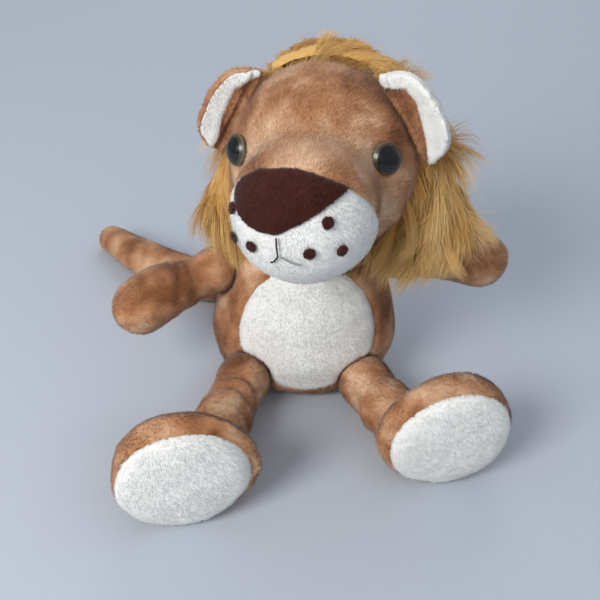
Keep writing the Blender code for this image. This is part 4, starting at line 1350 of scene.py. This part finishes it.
    def execute(self, context):
        ears = [f"ear_{side}_{part}" for side in ("right", "left") for part in ("back", "lining")]
        obstacles = tree_of(
            "head_stuffing", "torso_stuffing", "arm_right_cover", "arm_left_cover", "neck", *ears
        )
        locks = ("mane_crown", "mane_right_temple", "mane_left_temple", "mane_right_cheek", "mane_left_cheek")
        shares = (0.20, 0.17, 0.18, 0.20, 0.25)
        hems = (0.007, 0.006, 0.008, 0.010, 0.013)
        for number, (node, share, reach) in enumerate(zip(locks, shares, hems)):
            backing = stuffed_form(node + "_backing", [node], 0.002, 6)
            points = points_of(backing)
            sunk = settings("mane").sunk * (0.5 if node == "mane_crown" else 1.0)
            move_points(backing, points - normals_of(backing) * sunk)
            relax(backing, 4)
            count = int(settings("mane").strands * share)
            self.strands(node + "_hair", backing, node, reach, count, obstacles, 91 + number)
            finish_skin(backing, "head", "gold", [node])
        return {"FINISHED"}


class PLUSH_OT_stage(bpy.types.Operator):
    """Camera, pale floor and soft lights"""

    bl_idname = "plush.stage"
    bl_label = "Stage"

    def add_camera(self):
        stage = settings("stage")
        level = math.cos(stage.elevation)
        back = Vector(
            (
                math.sin(stage.azimuth) * level,
                -math.cos(stage.azimuth) * level,
                math.sin(stage.elevation),
            )
        )
        right = (-back).cross(Vector((0, 0, 1))).normalized()
        up = right.cross(-back)
        tilted_right = right * math.cos(stage.roll) + up * math.sin(stage.roll)
        tilted_up = up * math.cos(stage.roll) - right * math.sin(stage.roll)
        turn = Matrix((tilted_right, tilted_up, back)).transposed().to_4x4()
        lens = bpy.data.cameras.new("camera")
        lens.angle = stage.view
        lens.clip_start = 0.01
        camera = bpy.data.objects.new("camera", lens)
        camera.matrix_world = Matrix.Translation(Vector(stage.aim) + back * stage.distance) @ turn
        bpy.context.collection.objects.link(camera)
        bpy.context.scene.camera = camera

    def add_light(self, name, place, power, size, colour):
        lamp = bpy.data.lights.new(name, "AREA")
        lamp.shape = "DISK"
        lamp.energy = power
        lamp.size = size
        lamp.color = colour
        light = bpy.data.objects.new(name, lamp)
        light.location = place
        aim = Vector((0.0, 0.0, 0.08)) - Vector(place)
        light.rotation_euler = aim.to_track_quat("-Z", "Y").to_euler()
        light.visible_glossy = name == "key"
        bpy.context.collection.objects.link(light)

    def add_floor(self):
        size = settings("stage").floor_size
        alone(None)
        bpy.ops.mesh.primitive_plane_add(size=size, location=(0, 0, 0))
        floor = bpy.context.active_object
        floor.name = "floor"
        finish = Finish("floor")
        grain = finish.grain(finish.place(), 0.004, 3.0)
        tone = tuple(settings("colours").floor)
        dim = tuple(0.96 * part for part in tone)
        wear(floor, finish.set(Base_Color=finish.mix(grain, dim, tone), Roughness=0.9))

    def execute(self, context):
        scene = bpy.context.scene
        self.add_camera()
        self.add_floor()
        self.add_light("key", (-0.62, -0.72, 0.66), 9.6, 0.5, (1.0, 0.98, 0.95))
        self.add_light("fill", (0.6, -1.1, 0.8), 1.6, 1.2, (0.95, 0.97, 1.0))
        self.add_light("back", (0.1, 1.0, 0.9), 4.5, 1.0, (0.96, 0.98, 1.0))
        world = bpy.data.worlds.new("studio")
        world.use_nodes = True
        shade = world.node_tree.nodes["Background"]
        shade.inputs["Color"].default_value = (0.85, 0.90, 1.0, 1.0)
        shade.inputs["Strength"].default_value = 0.45
        scene.world = world
        scene.view_settings.view_transform = "Standard"
        return {"FINISHED"}


class PLUSH_PT_panel(bpy.types.Panel):
    """Lists the pieces in the sidebar"""

    bl_label = "Plush Lion"
    bl_idname = "PLUSH_PT_panel"
    bl_space_type = "VIEW_3D"
    bl_region_type = "UI"
    bl_category = "Plush Lion"

    def draw(self, context):
        for operator in operators:
            self.layout.operator(operator.bl_idname)


groups = {
    "colours": PlushColours,
    "shape": PlushShape,
    "pile": PlushPile,
    "mane": PlushMane,
    "stage": PlushStage,
}
operators = (
    PLUSH_OT_stage,
    PLUSH_OT_torso,
    PLUSH_OT_limbs,
    PLUSH_OT_head,
    PLUSH_OT_nose,
    PLUSH_OT_eyes,
    PLUSH_OT_ears,
    PLUSH_OT_mane,
)


def register():
    for kind in (*groups.values(), *operators, PLUSH_PT_panel):
        bpy.utils.register_class(kind)
    for name, group in groups.items():
        setattr(bpy.types.Scene, "plush_lion_" + name, PointerProperty(type=group))


def unregister():
    for name in groups:
        delattr(bpy.types.Scene, "plush_lion_" + name)
    for kind in reversed((*groups.values(), *operators, PLUSH_PT_panel)):
        bpy.utils.unregister_class(kind)


def main():
    register()
    bpy.ops.plush.stage()
    bpy.ops.plush.torso()
    bpy.ops.plush.limbs()
    bpy.ops.plush.head()
    bpy.ops.plush.nose()
    bpy.ops.plush.eyes()
    bpy.ops.plush.ears()
    bpy.ops.plush.mane()


if __name__ == "__main__":
    main()
